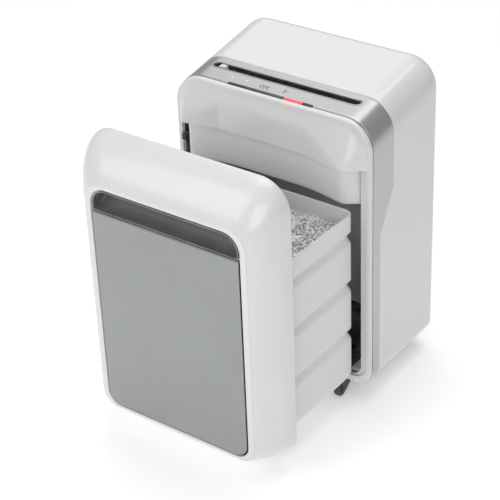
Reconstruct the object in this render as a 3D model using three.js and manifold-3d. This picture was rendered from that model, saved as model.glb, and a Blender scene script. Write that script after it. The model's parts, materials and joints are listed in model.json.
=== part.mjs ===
// Pull-out bin paper shredder on casters, shown with its bin drawn out.
// Millimetres, +Z up, +Y towards the back. The origin is on the floor under the middle.
// Body coordinates: y = 0 on the front rim's plane, z = 0 on the underside of the body.
import * as THREE from 'three';
import { ConvexGeometry } from 'three/addons/geometries/ConvexGeometry.js';
import { mergeVertices } from 'three/addons/utils/BufferGeometryUtils.js';
import Module from 'manifold-3d';

const wasm = await Module();
wasm.setup();

// Driving dimensions
const BODY_HALF_WIDTH = 185;
const BODY_DEPTH = 205;
const FRONT_HEIGHT = 474;
const BACK_HEIGHT = 510;
const TOP_SLOPE = (BACK_HEIGHT - FRONT_HEIGHT) / BODY_DEPTH;
const TOP_RADIUS = 50;
const BOTTOM_RADIUS = 30;
const BACK_ROLL = 22;
const SHELL = 3;
const GAP = 0.3;

// Control band round the front of the body
const RIM_DEPTH = 7.7;
const BAND_FRONT = 8.3;
const BAND_REAR = 65;
const BAND_STRIP_REAR = 27;
const BAND_CORNER_TOP = 348;
const BAND_CORNER_BOTTOM = 275;
const STRIP_SEAM = 239;

// Front frame and its opening for the bin
const OPENING_HALF_WIDTH = 176;
const OPENING_BOTTOM = 13;
const FLANGE_HALF_WIDTH = 164;
const FASCIA_BOTTOM = 399;
const FASCIA_TOP = 468;
const FASCIA_REACH = 27;
const FASCIA_SCOOP = 6;
const FASCIA_HALF_WIDTH = 150;
const SCOOP_LEFT = -93;
const SCOOP_RIGHT = 70;

// Head housing under the cutters
const HOUSING_BOTTOM = 331;
const HOUSING_HALF_WIDTH = 162;
const HOUSING_REAR = 165;

// Bin, drawn out by PULL
const PULL = 206;
const PANEL_DEPTH = 64;
const PANEL_HALF_WIDTH = 149;
const PANEL_LIP_HEIGHT = 411;
const PANEL_FOOT = 3;
const PLATE_HALF_WIDTH = 136;
const PLATE_BOTTOM = 12.5;
const PLATE_TOP = 364;
const PLATE_PROUD = 0.3;
const TUB_HALF_WIDTH = 161;
const TUB_BOTTOM = 18.5;
const TUB_TOP = 327;
const TUB_FRONT = -10;
const TUB_REAR = PULL - 8;
const TUB_GROOVES = [113, 203, 290];
const TUB_WALL = 2.6;
const HEAP_EDGE = 301;
const HEAP_TOP = 313;
const HEAP_CRUST = 7;

// Cutting head: two shafts across the body, driven from the right
const SHAFT_HEIGHT = 392;
const FRONT_SHAFT_Y = 34;
const REAR_SHAFT_Y = 64;
const SHAFT_RADIUS = 6;
const DISC_RADIUS = 17;
const DISC_PITCH = 13.5;
const DISC_WIDTH = 5.6;
const PLATE_INNER_X = 134;
const PLATE_OUTER_X = 137;
const SYNC_TEETH = 12;
const SYNC_MODULE = 2.5;
const DRIVE_TEETH = 24;
const DRIVE_PINION_TEETH = 10;
const DRIVE_MODULE = 1.75;
const IDLER_TEETH = 30;
const MOTOR_TEETH = 10;
const MOTOR_MODULE = 1.25;
const IDLER_ANGLE = THREE.MathUtils.degToRad(-10);
const MOTOR_ANGLE = THREE.MathUtils.degToRad(12);
const DRIVE_CENTRES = DRIVE_MODULE * (DRIVE_TEETH + DRIVE_PINION_TEETH) / 2;
const MOTOR_CENTRES = MOTOR_MODULE * (IDLER_TEETH + MOTOR_TEETH) / 2;
const IDLER_Y = REAR_SHAFT_Y + DRIVE_CENTRES * Math.cos(IDLER_ANGLE);
const IDLER_Z = SHAFT_HEIGHT + DRIVE_CENTRES * Math.sin(IDLER_ANGLE);
const MOTOR_Y = IDLER_Y + MOTOR_CENTRES * Math.cos(MOTOR_ANGLE);
const MOTOR_Z = IDLER_Z + MOTOR_CENTRES * Math.sin(MOTOR_ANGLE);

// Throat and the controls in front of it
const SLOT_HALF_WIDTH = 136;
const SLOT_FRONT = 41;
const SLOT_REAR = 51;
const BEZEL_HALF_WIDTH = 139.7;
const BEZEL_FRONT = 36.8;
const BEZEL_REAR = 54.2;
const LIGHT_BAR_LEFT = -85;
const LIGHT_BAR_RIGHT = 75;
const LIT_LEFT = 22;
const LIT_RIGHT = 56;

// Casters
const CASTER_HEIGHT = 28;
const WHEEL_RADIUS = 12.5;
const WHEEL_WIDTH = 11;
const CASTER_TRAIL = 22;
const CASTER_X = 132;
const FRONT_CASTER_Y = 13.5;
const REAR_CASTER_Y = 180;

// The frame's origin is under the middle of the whole machine with its bin out
const FRONT_REACH = PULL + PANEL_DEPTH + PLATE_PROUD;
const REAR_REACH = REAR_CASTER_Y + CASTER_TRAIL + WHEEL_RADIUS;
const RIM_Y = (FRONT_REACH - REAR_REACH) / 2;

// Finishes
function finish(colour, roughness, metalness = 0) {
  return new THREE.MeshStandardMaterial({ color: colour, roughness, metalness });
}
const WHITE_GLOSS = finish(0xf2f2f1, 0.25);
const LIGHT_GREY = finish(0xd9dadb, 0.45);
const SATIN_SILVER = finish(0xa9abad, 0.38, 0.6);
const BAND_SILVER = finish(0xb9babc, 0.32, 0.6);
const POCKET_GREY = finish(0x606265, 0.5);
const BLACK_PLASTIC = finish(0x1d1e20, 0.5);
const BLACK_STEEL = finish(0x1c1d1f, 0.4);
const CASTER_GREY = finish(0x4a4c4f, 0.55);
const STEEL = finish(0x9a9da0, 0.35, 1);
const HARD_STEEL = finish(0x6f7377, 0.3, 1);
const BRONZE = finish(0x9c7443, 0.4, 1);
const GEAR_NYLON = finish(0xdcd8c8, 0.5);
const BOARD_GREEN = finish(0x1f5a35, 0.5);
const RED_LIGHT = finish(0xe23b3b, 0.3);
const ICON_WHITE = finish(0xf6f6f6, 0.5);
const PAPER_WHITE = finish(0xededeb, 0.9);

// Solids: closed triangle meshes that manifold-3d can join and cut
function solidOf(geometry) {
  const bare = geometry.index ? geometry.toNonIndexed() : geometry.clone();
  bare.deleteAttribute('normal');
  bare.deleteAttribute('uv');
  const merged = mergeVertices(bare, 1e-4);
  const index = Array.from(merged.index.array);
  const kept = [];
  for (let i = 0; i < index.length; i += 3) {
    const [a, b, c] = index.slice(i, i + 3);
    if (a !== b && b !== c && c !== a) kept.push(a, b, c);
  }
  const mesh = { numProp: 3, vertProperties: merged.attributes.position.array };
  const solid = new wasm.Manifold(new wasm.Mesh({ ...mesh, triVerts: new Uint32Array(kept) }));
  if (solid.volume() > 0) return solid;
  for (let i = 0; i < kept.length; i += 3) kept.splice(i, 2, kept[i + 1], kept[i]);
  return new wasm.Manifold(new wasm.Mesh({ ...mesh, triVerts: new Uint32Array(kept) }));
}

function geometryOf(solid) {
  const mesh = solid.getMesh();
  const geometry = new THREE.BufferGeometry();
  geometry.setAttribute('position', new THREE.BufferAttribute(new Float32Array(mesh.vertProperties), 3));
  geometry.setIndex(new THREE.BufferAttribute(new Uint32Array(mesh.triVerts), 1));
  geometry.computeVertexNormals();
  return geometry;
}

function join(...solids) {
  return solids.reduce((whole, solid) => whole.add(solid));
}

function cut(solid, ...tools) {
  return tools.reduce((left, tool) => left.subtract(tool), solid);
}

// Outlines and the three ways of carrying them
function roundedShape(left, right, bottom, top, bottomRadius, topRadius) {
  const shape = new THREE.Shape();
  shape.moveTo(left + bottomRadius, bottom);
  shape.lineTo(right - bottomRadius, bottom);
  shape.absarc(right - bottomRadius, bottom + bottomRadius, bottomRadius, -Math.PI / 2, 0);
  shape.lineTo(right, top - topRadius);
  shape.absarc(right - topRadius, top - topRadius, topRadius, 0, Math.PI / 2);
  shape.lineTo(left + topRadius, top);
  shape.absarc(left + topRadius, top - topRadius, topRadius, Math.PI / 2, Math.PI);
  shape.lineTo(left, bottom + bottomRadius);
  shape.absarc(left + bottomRadius, bottom + bottomRadius, bottomRadius, Math.PI, 1.5 * Math.PI);
  return shape;
}

function polygon(points) {
  return new THREE.Shape(points.map(([a, b]) => new THREE.Vector2(a, b)));
}

function disc(x, y, radius) {
  const shape = new THREE.Shape();
  shape.absarc(x, y, radius, 0, 2 * Math.PI);
  return shape;
}

function extrude(shape, depth, segments = 4) {
  return new THREE.ExtrudeGeometry(shape, { depth, steps: 1, curveSegments: segments, bevelEnabled: false });
}

// Section in x and z, carried from y0 to y1
function alongY(shape, y0, y1, segments) {
  return solidOf(extrude(shape, y1 - y0, segments).rotateX(Math.PI / 2).translate(0, y1, 0));
}

// Section in y and z, carried from x0 to x1
function alongX(shape, x0, x1, segments) {
  const turn = new THREE.Matrix4().set(0, 0, 1, 0, 1, 0, 0, 0, 0, 1, 0, 0, 0, 0, 0, 1);
  return solidOf(extrude(shape, x1 - x0, segments).applyMatrix4(turn).translate(x0, 0, 0));
}

// Section in x and y, carried from z0 to z1
function alongZ(shape, z0, z1, segments) {
  return solidOf(extrude(shape, z1 - z0, segments).translate(0, 0, z0));
}

function box(x0, x1, y0, y1, z0, z1) {
  const geometry = new THREE.BoxGeometry(x1 - x0, y1 - y0, z1 - z0);
  return solidOf(geometry.translate((x0 + x1) / 2, (y0 + y1) / 2, (z0 + z1) / 2));
}

// Profile of [x, radius] pairs turned about an axis along X at (y, z)
function turnedX(profile, y, z, segments = 16) {
  const points = profile.map(([x, radius]) => new THREE.Vector2(radius, x));
  return solidOf(new THREE.LatheGeometry(points, segments).rotateZ(-Math.PI / 2).translate(0, y, z));
}

// Profile of [z, radius] pairs turned about a vertical axis at (x, y)
function turnedZ(profile, x, y, segments = 16) {
  const points = profile.map(([z, radius]) => new THREE.Vector2(radius, z));
  return solidOf(new THREE.LatheGeometry(points, segments).rotateX(Math.PI / 2).translate(x, y, 0));
}

function cylinderX(x0, x1, y, z, radius, segments) {
  return turnedX([[x0, 0], [x0, radius], [x1, radius], [x1, 0]], y, z, segments);
}

// Body shell: rounded outline carried back, rolled over at the back, with a sloping top
function bodyForm(inset) {
  const lead = 60;
  const roll = BACK_ROLL - inset;
  const outline = roundedShape(
    inset - BODY_HALF_WIDTH, BODY_HALF_WIDTH - inset, inset, FRONT_HEIGHT - inset,
    BOTTOM_RADIUS - inset, TOP_RADIUS - inset);
  const geometry = new THREE.ExtrudeGeometry(outline, {
    depth: BODY_DEPTH - inset + lead - 2 * roll, steps: 1, curveSegments: 4, bevelEnabled: true,
    bevelThickness: roll, bevelSize: roll, bevelOffset: -roll, bevelSegments: 4,
  });
  geometry.rotateX(Math.PI / 2).translate(0, BODY_DEPTH - inset - roll, 0);
  const place = geometry.attributes.position;
  const shoulder = FRONT_HEIGHT - TOP_RADIUS - 0.5;
  for (let i = 0; i < place.count; i++) {
    if (place.getZ(i) > shoulder) place.setZ(i, place.getZ(i) + TOP_SLOPE * place.getY(i));
  }
  return solidOf(geometry);
}

const outerForm = bodyForm(0);
const innerForm = bodyForm(SHELL);
const bodyShell = cut(outerForm, innerForm);

// Region of the shell that the silver band and its side strips take
function bandRegion(grow) {
  return alongX(polygon([
    [-70, -20], [BAND_STRIP_REAR + grow, -20], [BAND_STRIP_REAR + grow, BAND_CORNER_BOTTOM - grow / 2],
    [BAND_REAR + grow, BAND_CORNER_TOP - grow / 2], [BAND_REAR + grow, 560], [-70, 560],
  ]), -200, 200);
}

const baseCutout = box(-152, 152, -70, 190, -5, 12);
const throatCutout = alongZ(
  roundedShape(-BEZEL_HALF_WIDTH - GAP, BEZEL_HALF_WIDTH + GAP, BEZEL_FRONT - GAP, BEZEL_REAR + GAP, 8.9, 8.9),
  430, 520);

const INLET = { left: 98, right: 128, bottom: 350, top: 372 };
const ROCKER = { left: 70, right: 92, bottom: 348, top: 374 };
const VENT = { halfWidth: 60, bottom: 300, top: 360 };

function rearCover() {
  return cut(
    bodyShell.intersect(box(-200, 200, BAND_FRONT, 220, -5, 540)),
    bandRegion(GAP), baseCutout,
    box(INLET.left, INLET.right, 190, 220, INLET.bottom, INLET.top),
    box(ROCKER.left, ROCKER.right, 190, 220, ROCKER.bottom, ROCKER.top),
    box(-VENT.halfWidth, VENT.halfWidth, 190, 220, VENT.bottom, VENT.top));
}

function controlBand() {
  const region = bandRegion(0).intersect(box(-200, 200, BAND_FRONT, 220, STRIP_SEAM + GAP, 540));
  const lightGroove = box(LIGHT_BAR_LEFT, LIGHT_BAR_RIGHT, 0, 12, 440, 490);
  return cut(bodyShell.intersect(region), throatCutout, lightGroove);
}

function trimStrip(side) {
  const region = bandRegion(0).intersect(
    side < 0 ? box(-200, -152, BAND_FRONT, 220, -5, STRIP_SEAM) : box(152, 200, BAND_FRONT, 220, -5, STRIP_SEAM));
  return cut(bodyShell.intersect(region), baseCutout);
}

// Overhanging fascia: leans forward to its lower edge, with a shallow scoop between two corners
function fasciaForm(back) {
  const side = FLANGE_HALF_WIDTH + 3;
  const corners = [];
  for (const sign of [-1, 1]) {
    corners.push(new THREE.Vector3(sign * side, 0, FASCIA_BOTTOM));
    corners.push(new THREE.Vector3(sign * side, 0, FASCIA_BOTTOM + 38));
    corners.push(new THREE.Vector3(sign * FASCIA_HALF_WIDTH, 0, FASCIA_TOP));
    corners.push(new THREE.Vector3(sign * FASCIA_HALF_WIDTH, -FASCIA_REACH, FASCIA_BOTTOM));
    corners.push(new THREE.Vector3(sign * FASCIA_HALF_WIDTH, back, FASCIA_TOP));
    corners.push(new THREE.Vector3(sign * side, back, FASCIA_BOTTOM));
    corners.push(new THREE.Vector3(sign * side, back, FASCIA_BOTTOM + 38));
  }
  const scoop = alongZ(polygon([
    [-FASCIA_HALF_WIDTH - 8, -FASCIA_REACH - 2.1], [SCOOP_LEFT, -FASCIA_SCOOP],
    [SCOOP_RIGHT, -FASCIA_SCOOP], [FASCIA_HALF_WIDTH + 8, -FASCIA_REACH - 2.1],
    [FASCIA_HALF_WIDTH, -60], [-FASCIA_HALF_WIDTH, -60],
  ]), 380, 480);
  return solidOf(new ConvexGeometry(corners)).subtract(scoop);
}

function frontFrame() {
  const rim = bodyForm(0.8).intersect(box(-200, 200, 0, RIM_DEPTH, -5, 540));
  const solid = join(rim, fasciaForm(4));
  const opening = alongY(
    roundedShape(-OPENING_HALF_WIDTH, OPENING_HALF_WIDTH, OPENING_BOTTOM, FASCIA_BOTTOM, 24, 4), -40, 5.5);
  const flangeOpening = alongY(
    roundedShape(-FLANGE_HALF_WIDTH, FLANGE_HALF_WIDTH, OPENING_BOTTOM + 1, FASCIA_BOTTOM, 18, 4), 5, 12);
  const switchNotch = box(-OPENING_HALF_WIDTH, -FLANGE_HALF_WIDTH + 6, 5, 12, 325, FASCIA_BOTTOM);
  const back = alongY(roundedShape(-172, 172, FASCIA_BOTTOM + SHELL, 466, 4, 42), 4.2, 12);
  const hollow = fasciaForm(8).translate([0, 3.5, 0]).intersect(box(-162, 162, -40, 30, FASCIA_BOTTOM + SHELL, 462));
  const lightGroove = box(LIGHT_BAR_LEFT, LIGHT_BAR_RIGHT, 5.5, 12, 466, 490);
  return cut(solid, opening, flangeOpening, switchNotch, back, hollow, lightGroove);
}

// Controls on the band
function topPlane(y) {
  return FRONT_HEIGHT + TOP_SLOPE * y;
}

function lightBar(left, right) {
  const shape = polygon([[6, 467.5], [11.7, 467.5], [11.7, topPlane(11.7) + 0.5], [6, topPlane(6) + 0.5]]);
  return alongX(shape, left, right);
}

// Flat figure lying on the sloping band, thin enough to stand for a print
function inlay(shape, x, y) {
  const geometry = extrude(shape, 0.5, 6).rotateX(Math.atan(TOP_SLOPE));
  return solidOf(geometry.translate(x, y, topPlane(y) + GAP));
}

function chevron(tip, size) {
  return [[tip, 0], [tip + size, size], [tip + size + 2, size], [tip + 2, 0], [tip + size + 2, -size],
    [tip + size, -size]];
}

function reverseIcon() {
  const bar = polygon([[-7.6, -0.5], [0.8, -0.5], [0.8, 0.5], [-7.6, 0.5]]);
  return join(...[polygon(chevron(-8, 5)), polygon(chevron(-1, 5)), bar].map((shape) => inlay(shape, -24, 21)));
}

function forwardIcon() {
  return inlay(polygon(chevron(-3, 5).map(([x, y]) => [-x, y]).reverse()), 12, 26);
}

function powerIcon() {
  const ring = disc(0, 0, 4);
  ring.holes.push(disc(0, 0, 2.8));
  const stem = polygon([[-0.6, 1.2], [0.6, 1.2], [0.6, 5.2], [-0.6, 5.2]]);
  return join(inlay(ring, -87, 23), inlay(stem, -87, 23));
}

function throatBezel() {
  const ring = roundedShape(-BEZEL_HALF_WIDTH, BEZEL_HALF_WIDTH, BEZEL_FRONT, BEZEL_REAR, 8.6, 8.6);
  ring.holes.push(roundedShape(-SLOT_HALF_WIDTH, SLOT_HALF_WIDTH, SLOT_FRONT, SLOT_REAR, 4.9, 4.9));
  const skin = bodyForm(-0.6);
  return alongZ(ring, 455, 500, 3).intersect(skin);
}

function throatGuide() {
  const left = GAP - SLOT_HALF_WIDTH + 3;
  const top = topPlane(SLOT_FRONT) + 0.2;
  return alongY(polygon([[left, 458], [-116, 458], [-116, 466], [left + 7, top], [left, top]]),
    SLOT_FRONT + 0.5, SLOT_REAR - 0.5);
}

// Head housing: tray under the cutters with a front of three facets and a chute for the shreds
function housingPlan(inset) {
  const side = HOUSING_HALF_WIDTH - inset;
  return polygon([
    [-side, 12 + inset], [-137 + inset * 0.4, inset - 6], [SCOOP_LEFT + inset * 0.3, 8 + inset],
    [SCOOP_RIGHT - inset * 0.3, 8 + inset], [137 - inset * 0.4, inset - 6], [side, 12 + inset],
    [side, HOUSING_REAR - inset], [-side, HOUSING_REAR - inset],
  ]);
}

function lowerHousing() {
  const solid = alongZ(housingPlan(0), HOUSING_BOTTOM, FASCIA_BOTTOM - GAP);
  const hollow = alongZ(housingPlan(SHELL), HOUSING_BOTTOM + SHELL, FASCIA_BOTTOM + 5);
  return cut(solid, hollow, box(-126, 126, 20, 78, HOUSING_BOTTOM - 5, HOUSING_BOTTOM + 10));
}

// Steel base, thick towards the back so that the machine stands firm with its bin drawn out
function baseTray() {
  const solid = box(-151.5, 151.5, BAND_FRONT, 189.5, 0, 11.7);
  const well = box(-110, 110, 20, 78, 3, 20);
  const sockets = [];
  for (const x of [-CASTER_X, CASTER_X]) {
    for (const y of [FRONT_CASTER_Y, REAR_CASTER_Y]) sockets.push([x, y]);
  }
  const holes = sockets.map(([x, y]) => turnedZ([[-2, 0], [-2, 4.4], [9, 4.4], [9, 0]], x, y));
  return cut(solid, well, ...holes);
}

function rail(side) {
  const shape = polygon([[-10, 12], [14, 12], [14, 24], [11.5, 24], [11.5, 18], [-10, 18]]);
  const placed = shape.getPoints().map((p) => [side * (p.x + 150.5), p.y]);
  return alongY(polygon(side < 0 ? placed.reverse() : placed), 14, 186);
}

// Cutting head
function sidePlate(side) {
  const shape = polygon([[15, 342], [150, 342], [150, 436], [15, 436]]);
  const holes = [[FRONT_SHAFT_Y, SHAFT_HEIGHT, 10.4], [REAR_SHAFT_Y, SHAFT_HEIGHT, 10.4],
    [22, 424, 3.9], [142, 366, 3.9]];
  if (side > 0) holes.push([MOTOR_Y, MOTOR_Z, 8.8], [IDLER_Y, IDLER_Z, 4.4]);
  for (const [y, z, radius] of holes) shape.holes.push(disc(y, z, radius));
  const [x0, x1] = side < 0 ? [-PLATE_OUTER_X, -PLATE_INNER_X] : [PLATE_INNER_X, PLATE_OUTER_X];
  return alongX(shape, x0, x1, 8);
}

function bush(side, y) {
  const outer = side * (PLATE_OUTER_X + 0.4);
  const inner = side * (PLATE_INNER_X - 3);
  const flange = side * (PLATE_INNER_X - GAP);
  return turnedX([[inner, 6.4], [outer, 6.4], [outer, 10], [flange, 10], [flange, 12], [inner, 12], [inner, 6.4]],
    y, SHAFT_HEIGHT);
}

function tieRod(y, z) {
  return cylinderX(-PLATE_OUTER_X - 4, PLATE_OUTER_X + 4, y, z, 3.5, 12);
}

function discCentres(count) {
  return Array.from({ length: count }, (_, i) => (i - (count - 1) / 2) * DISC_PITCH);
}

function cutterShaft(y, discs, left, right) {
  const profile = [[left, 0], [left, SHAFT_RADIUS]];
  for (const x of discCentres(discs)) {
    profile.push([x - DISC_WIDTH / 2, SHAFT_RADIUS], [x - DISC_WIDTH / 2, DISC_RADIUS]);
    profile.push([x + DISC_WIDTH / 2, DISC_RADIUS], [x + DISC_WIDTH / 2, SHAFT_RADIUS]);
  }
  profile.push([right, SHAFT_RADIUS], [right, 0]);
  return turnedX(profile, y, SHAFT_HEIGHT, 12);
}

function stripperComb(discs, bar, reach) {
  const [barFront, barRear] = bar;
  const teeth = discCentres(discs + 1).map((x) =>
    box(x - 2.6, x + 2.6, Math.min(reach, barFront + 1), Math.max(reach, barRear - 1), 370, 377));
  return join(box(-PLATE_INNER_X + GAP, PLATE_INNER_X - GAP, barFront, barRear, 366, 384), ...teeth);
}

// Stub involute gear outline in y and z about its own centre, a tooth pointing along +Y
function gearShape(teeth, module, bore) {
  const pressure = THREE.MathUtils.degToRad(25);
  const pitchRadius = teeth * module / 2;
  const baseRadius = pitchRadius * Math.cos(pressure);
  const tipRadius = pitchRadius + 0.8 * module;
  const rootRadius = pitchRadius - 1.1 * module;
  const involute = (angle) => Math.tan(angle) - angle;
  const halfTooth = (radius) => {
    const angle = radius > baseRadius ? Math.acos(baseRadius / radius) : 0;
    return 0.44 * Math.PI / teeth + involute(pressure) - involute(angle);
  };
  const start = Math.max(rootRadius, baseRadius);
  const flank = [rootRadius, (start + pitchRadius) / 2, (pitchRadius + tipRadius) / 2, tipRadius];
  const points = [];
  for (let tooth = 0; tooth < teeth; tooth++) {
    const centre = 2 * Math.PI * tooth / teeth;
    for (const radius of flank) points.push([radius, centre - halfTooth(radius)]);
    for (const radius of [...flank].reverse()) points.push([radius, centre + halfTooth(radius)]);
  }
  const shape = polygon(points.map(([radius, angle]) => [radius * Math.cos(angle), radius * Math.sin(angle)]));
  if (bore > 0) shape.holes.push(disc(0, 0, bore));
  return shape;
}

function gear(teeth, module, bore, phase, x0, x1, y, z) {
  const solid = alongX(gearShape(teeth, module, bore), x0, x1, 6);
  return solid.rotate([THREE.MathUtils.radToDeg(phase), 0, 0]).translate([0, y, z]);
}

// A tooth of each followed gear points along the line of centres, and meets a gap of its partner
function meshPhase(direction, teeth) {
  return direction + Math.PI + Math.PI / teeth;
}

function idlerGear() {
  const pinionPhase = meshPhase(IDLER_ANGLE, DRIVE_PINION_TEETH);
  return join(
    gear(DRIVE_PINION_TEETH, DRIVE_MODULE, 3.6, pinionPhase, 139.8, 148.6, IDLER_Y, IDLER_Z),
    gear(IDLER_TEETH, MOTOR_MODULE, 3.6, MOTOR_ANGLE, 148.5, 155, IDLER_Y, IDLER_Z));
}

function motorPinion() {
  const phase = meshPhase(MOTOR_ANGLE, MOTOR_TEETH);
  return join(
    gear(MOTOR_TEETH, MOTOR_MODULE, 0, phase, 148.5, 155, MOTOR_Y, MOTOR_Z),
    cylinderX(116, 157, MOTOR_Y, MOTOR_Z, 3.2, 12));
}

function motorCase() {
  const face = PLATE_INNER_X - GAP;
  return turnedX([
    [30, 0], [30, 10], [35, 10], [35, 26], [40, 30], [124, 30], [128, 26], [face, 26], [face, 8.8],
    [130, 8.8], [130, 4], [115, 4], [115, 0],
  ], MOTOR_Y, MOTOR_Z, 20);
}

// Electrical pieces
function paperSensor() {
  return join(box(-9, 9, 57, 66, 440, 456), box(-3, 3, 55, 58, 444, 452));
}

function binSwitch() {
  return cut(box(-178, -166, 10, 32, 346, 378), box(-175.4, -168.6, 5, 26, 356.6, 367.4));
}

function switchPlunger() {
  return box(-175, -169, -4, 20, 357, 367);
}

function ventGrille() {
  const plate = box(-VENT.halfWidth + GAP, VENT.halfWidth - GAP, 200, 205, VENT.bottom + GAP, VENT.top - GAP);
  const slots = [];
  for (let z = VENT.bottom + 6; z < VENT.top - 6; z += 8) slots.push(box(-52, 52, 190, 210, z, z + 4));
  return cut(plate, ...slots);
}

function powerInlet() {
  const middle = (INLET.left + INLET.right) / 2;
  const block = box(INLET.left + GAP, INLET.right - GAP, 182, 205.8, INLET.bottom + GAP, INLET.top - GAP);
  const socket = box(middle - 12, middle + 12, 189, 210, INLET.bottom + 3, INLET.top - 3);
  const pins = [-7, 0, 7].map((x) => {
    const base = INLET.bottom + (x ? 7 : 9);
    return box(middle + x - 1, middle + x + 1, 188, 203, base, base + 4);
  });
  return join(cut(block, socket), ...pins);
}

function rockerFrame() {
  const block = box(ROCKER.left + GAP, ROCKER.right - GAP, 190, 206, ROCKER.bottom + GAP, ROCKER.top - GAP);
  return cut(block, box(ROCKER.left + 3, ROCKER.right - 3, 193, 210, ROCKER.bottom + 3, ROCKER.top - 3));
}

function rocker() {
  const middle = (ROCKER.bottom + ROCKER.top) / 2;
  const shape = polygon([
    [198, middle - 7], [205.4, middle - 9.2], [206, middle - 8.6], [204.6, middle], [206, middle + 8.6],
    [205.4, middle + 9.2], [198, middle + 7],
  ]);
  return alongX(shape, ROCKER.left + 3.6, ROCKER.right - 3.6);
}

// Casters: fork with its stem and axle, and a wheel on it
function casterFork(x, y, direction) {
  const axleY = y + direction * CASTER_TRAIL;
  const axleZ = WHEEL_RADIUS - CASTER_HEIGHT;
  const ends = direction < 0 ? [axleY - 6, y + 6] : [y - 6, axleY + 6];
  const plate = box(x - 9, x + 9, ends[0], ends[1], -2.4, -0.5);
  const stem = turnedZ([[-1, 0], [-1, 4], [7, 4], [7, 0]], x, y, 12);
  const cheek = polygon([[ends[0] + 1, -2], [ends[1] - 3, -2], [axleY + 4, axleZ - 4], [axleY - 4, axleZ - 4]]);
  const cheeks = [-1, 1].map((side) => {
    const inner = x + side * 6.5;
    return alongX(cheek, Math.min(inner, inner + side * 2), Math.max(inner, inner + side * 2));
  });
  return join(plate, stem, ...cheeks, cylinderX(x - 7, x + 7, axleY, axleZ, 2, 12));
}

function casterWheel(x, y, direction) {
  const half = WHEEL_WIDTH / 2;
  return turnedX([
    [x - half, 2.5], [x - half, WHEEL_RADIUS - 3], [x - half + 2.5, WHEEL_RADIUS],
    [x + half - 2.5, WHEEL_RADIUS], [x + half, WHEEL_RADIUS - 3], [x + half, 2.5], [x - half, 2.5],
  ], y + direction * CASTER_TRAIL, WHEEL_RADIUS - CASTER_HEIGHT, 24);
}

// Bin. Panel coordinates: y = 0 on the back of the panel
function ring(shape, y) {
  return shape.getPoints(4).map((p) => new THREE.Vector3(p.x, y, p.y));
}

function panelForm(inset, front, back) {
  const rear = roundedShape(inset - BODY_HALF_WIDTH, BODY_HALF_WIDTH - inset, PANEL_FOOT + inset,
    FRONT_HEIGHT - inset, BOTTOM_RADIUS - inset, TOP_RADIUS - inset);
  const face = roundedShape(inset - PANEL_HALF_WIDTH, PANEL_HALF_WIDTH - inset, PANEL_FOOT + 2 + inset,
    PANEL_LIP_HEIGHT - 1.5 * inset, 26 - inset, 34 - inset);
  return solidOf(new ConvexGeometry([...ring(rear, back), ...ring(face, front)]));
}

function binPanel() {
  const solid = panelForm(0, -PANEL_DEPTH, -0.5);
  const hollow = panelForm(SHELL, 6 - PANEL_DEPTH, 2);
  const recess = alongY(roundedShape(-PLATE_HALF_WIDTH - 3, PLATE_HALF_WIDTH + 3, PLATE_BOTTOM - 3,
    PLATE_TOP + 4, 25, 1), -80, 2.6 - PANEL_DEPTH);
  const pocketHole = alongY(
    roundedShape(-PLATE_HALF_WIDTH, PLATE_HALF_WIDTH, PLATE_TOP + 1, 403, 1, 28), -80, 8 - PANEL_DEPTH);
  const bosses = [-100, 100].map((x) => alongY(disc(x, 250, 7), -PANEL_DEPTH + 4, TUB_FRONT - GAP));
  const bossHoles = [-100, 100].map((x) => alongY(disc(x, 250, 2.4), TUB_FRONT - 22, 0));
  const tab = box(-176.4, -168, -12, -4.3, 358, 366);
  return cut(join(cut(solid, hollow, recess, pocketHole), ...bosses, tab), ...bossHoles);
}

function insetPlate() {
  const shape = roundedShape(-PLATE_HALF_WIDTH, PLATE_HALF_WIDTH, PLATE_BOTTOM, PLATE_TOP, 22, 1);
  return alongY(shape, -PANEL_DEPTH - PLATE_PROUD, -PANEL_DEPTH + 2.3);
}

function handlePocket() {
  const cup = alongY(
    roundedShape(-PLATE_HALF_WIDTH + GAP, PLATE_HALF_WIDTH - GAP, PLATE_TOP + 1 + GAP, 403 - GAP, 1, 27.7),
    1 - PANEL_DEPTH, -36);
  const hollow = alongY(
    roundedShape(-PLATE_HALF_WIDTH + 2.5, PLATE_HALF_WIDTH - 2.5, PLATE_TOP + 3.5, 400.5, 1, 25),
    -PANEL_DEPTH - 5, -38.5);
  return cut(cup, hollow);
}

// Side outline of the tub, bulging between its grooves
function tubShape(inset, floor, top) {
  const half = [
    [TUB_HALF_WIDTH - 9 - inset, floor], [TUB_HALF_WIDTH - 2 - inset, TUB_BOTTOM + 6 + inset / 2],
    [TUB_HALF_WIDTH - inset, TUB_BOTTOM + 18],
  ];
  for (const z of TUB_GROOVES) {
    half.push([TUB_HALF_WIDTH - inset, z - 16]);
    half.push([TUB_HALF_WIDTH - 5 - inset, z]);
    half.push([TUB_HALF_WIDTH - inset, z + 16]);
  }
  half.push([TUB_HALF_WIDTH - 1 - inset, top]);
  const mirrored = half.map(([x, z]) => [-x, z]).reverse();
  return polygon([...half, ...mirrored]);
}

function binTub() {
  const solid = alongY(tubShape(0, TUB_BOTTOM, TUB_TOP), TUB_FRONT, TUB_REAR);
  const cavity = tubShape(TUB_WALL, TUB_BOTTOM + TUB_WALL, TUB_TOP + 20);
  const hollow = alongY(cavity, TUB_FRONT + TUB_WALL, TUB_REAR - TUB_WALL);
  const holes = [-100, 100].map((x) => alongY(disc(x, 250, 2.4), TUB_FRONT - 5, TUB_FRONT + 8));
  return cut(solid, hollow, ...holes);
}

function panelScrew(x) {
  const head = alongY(disc(x, 250, 4.5), TUB_FRONT + TUB_WALL + GAP, TUB_FRONT + TUB_WALL + 2.6);
  const shank = alongY(disc(x, 250, 2), TUB_FRONT - 18, TUB_FRONT + TUB_WALL + 1);
  return join(head, shank);
}

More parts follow.
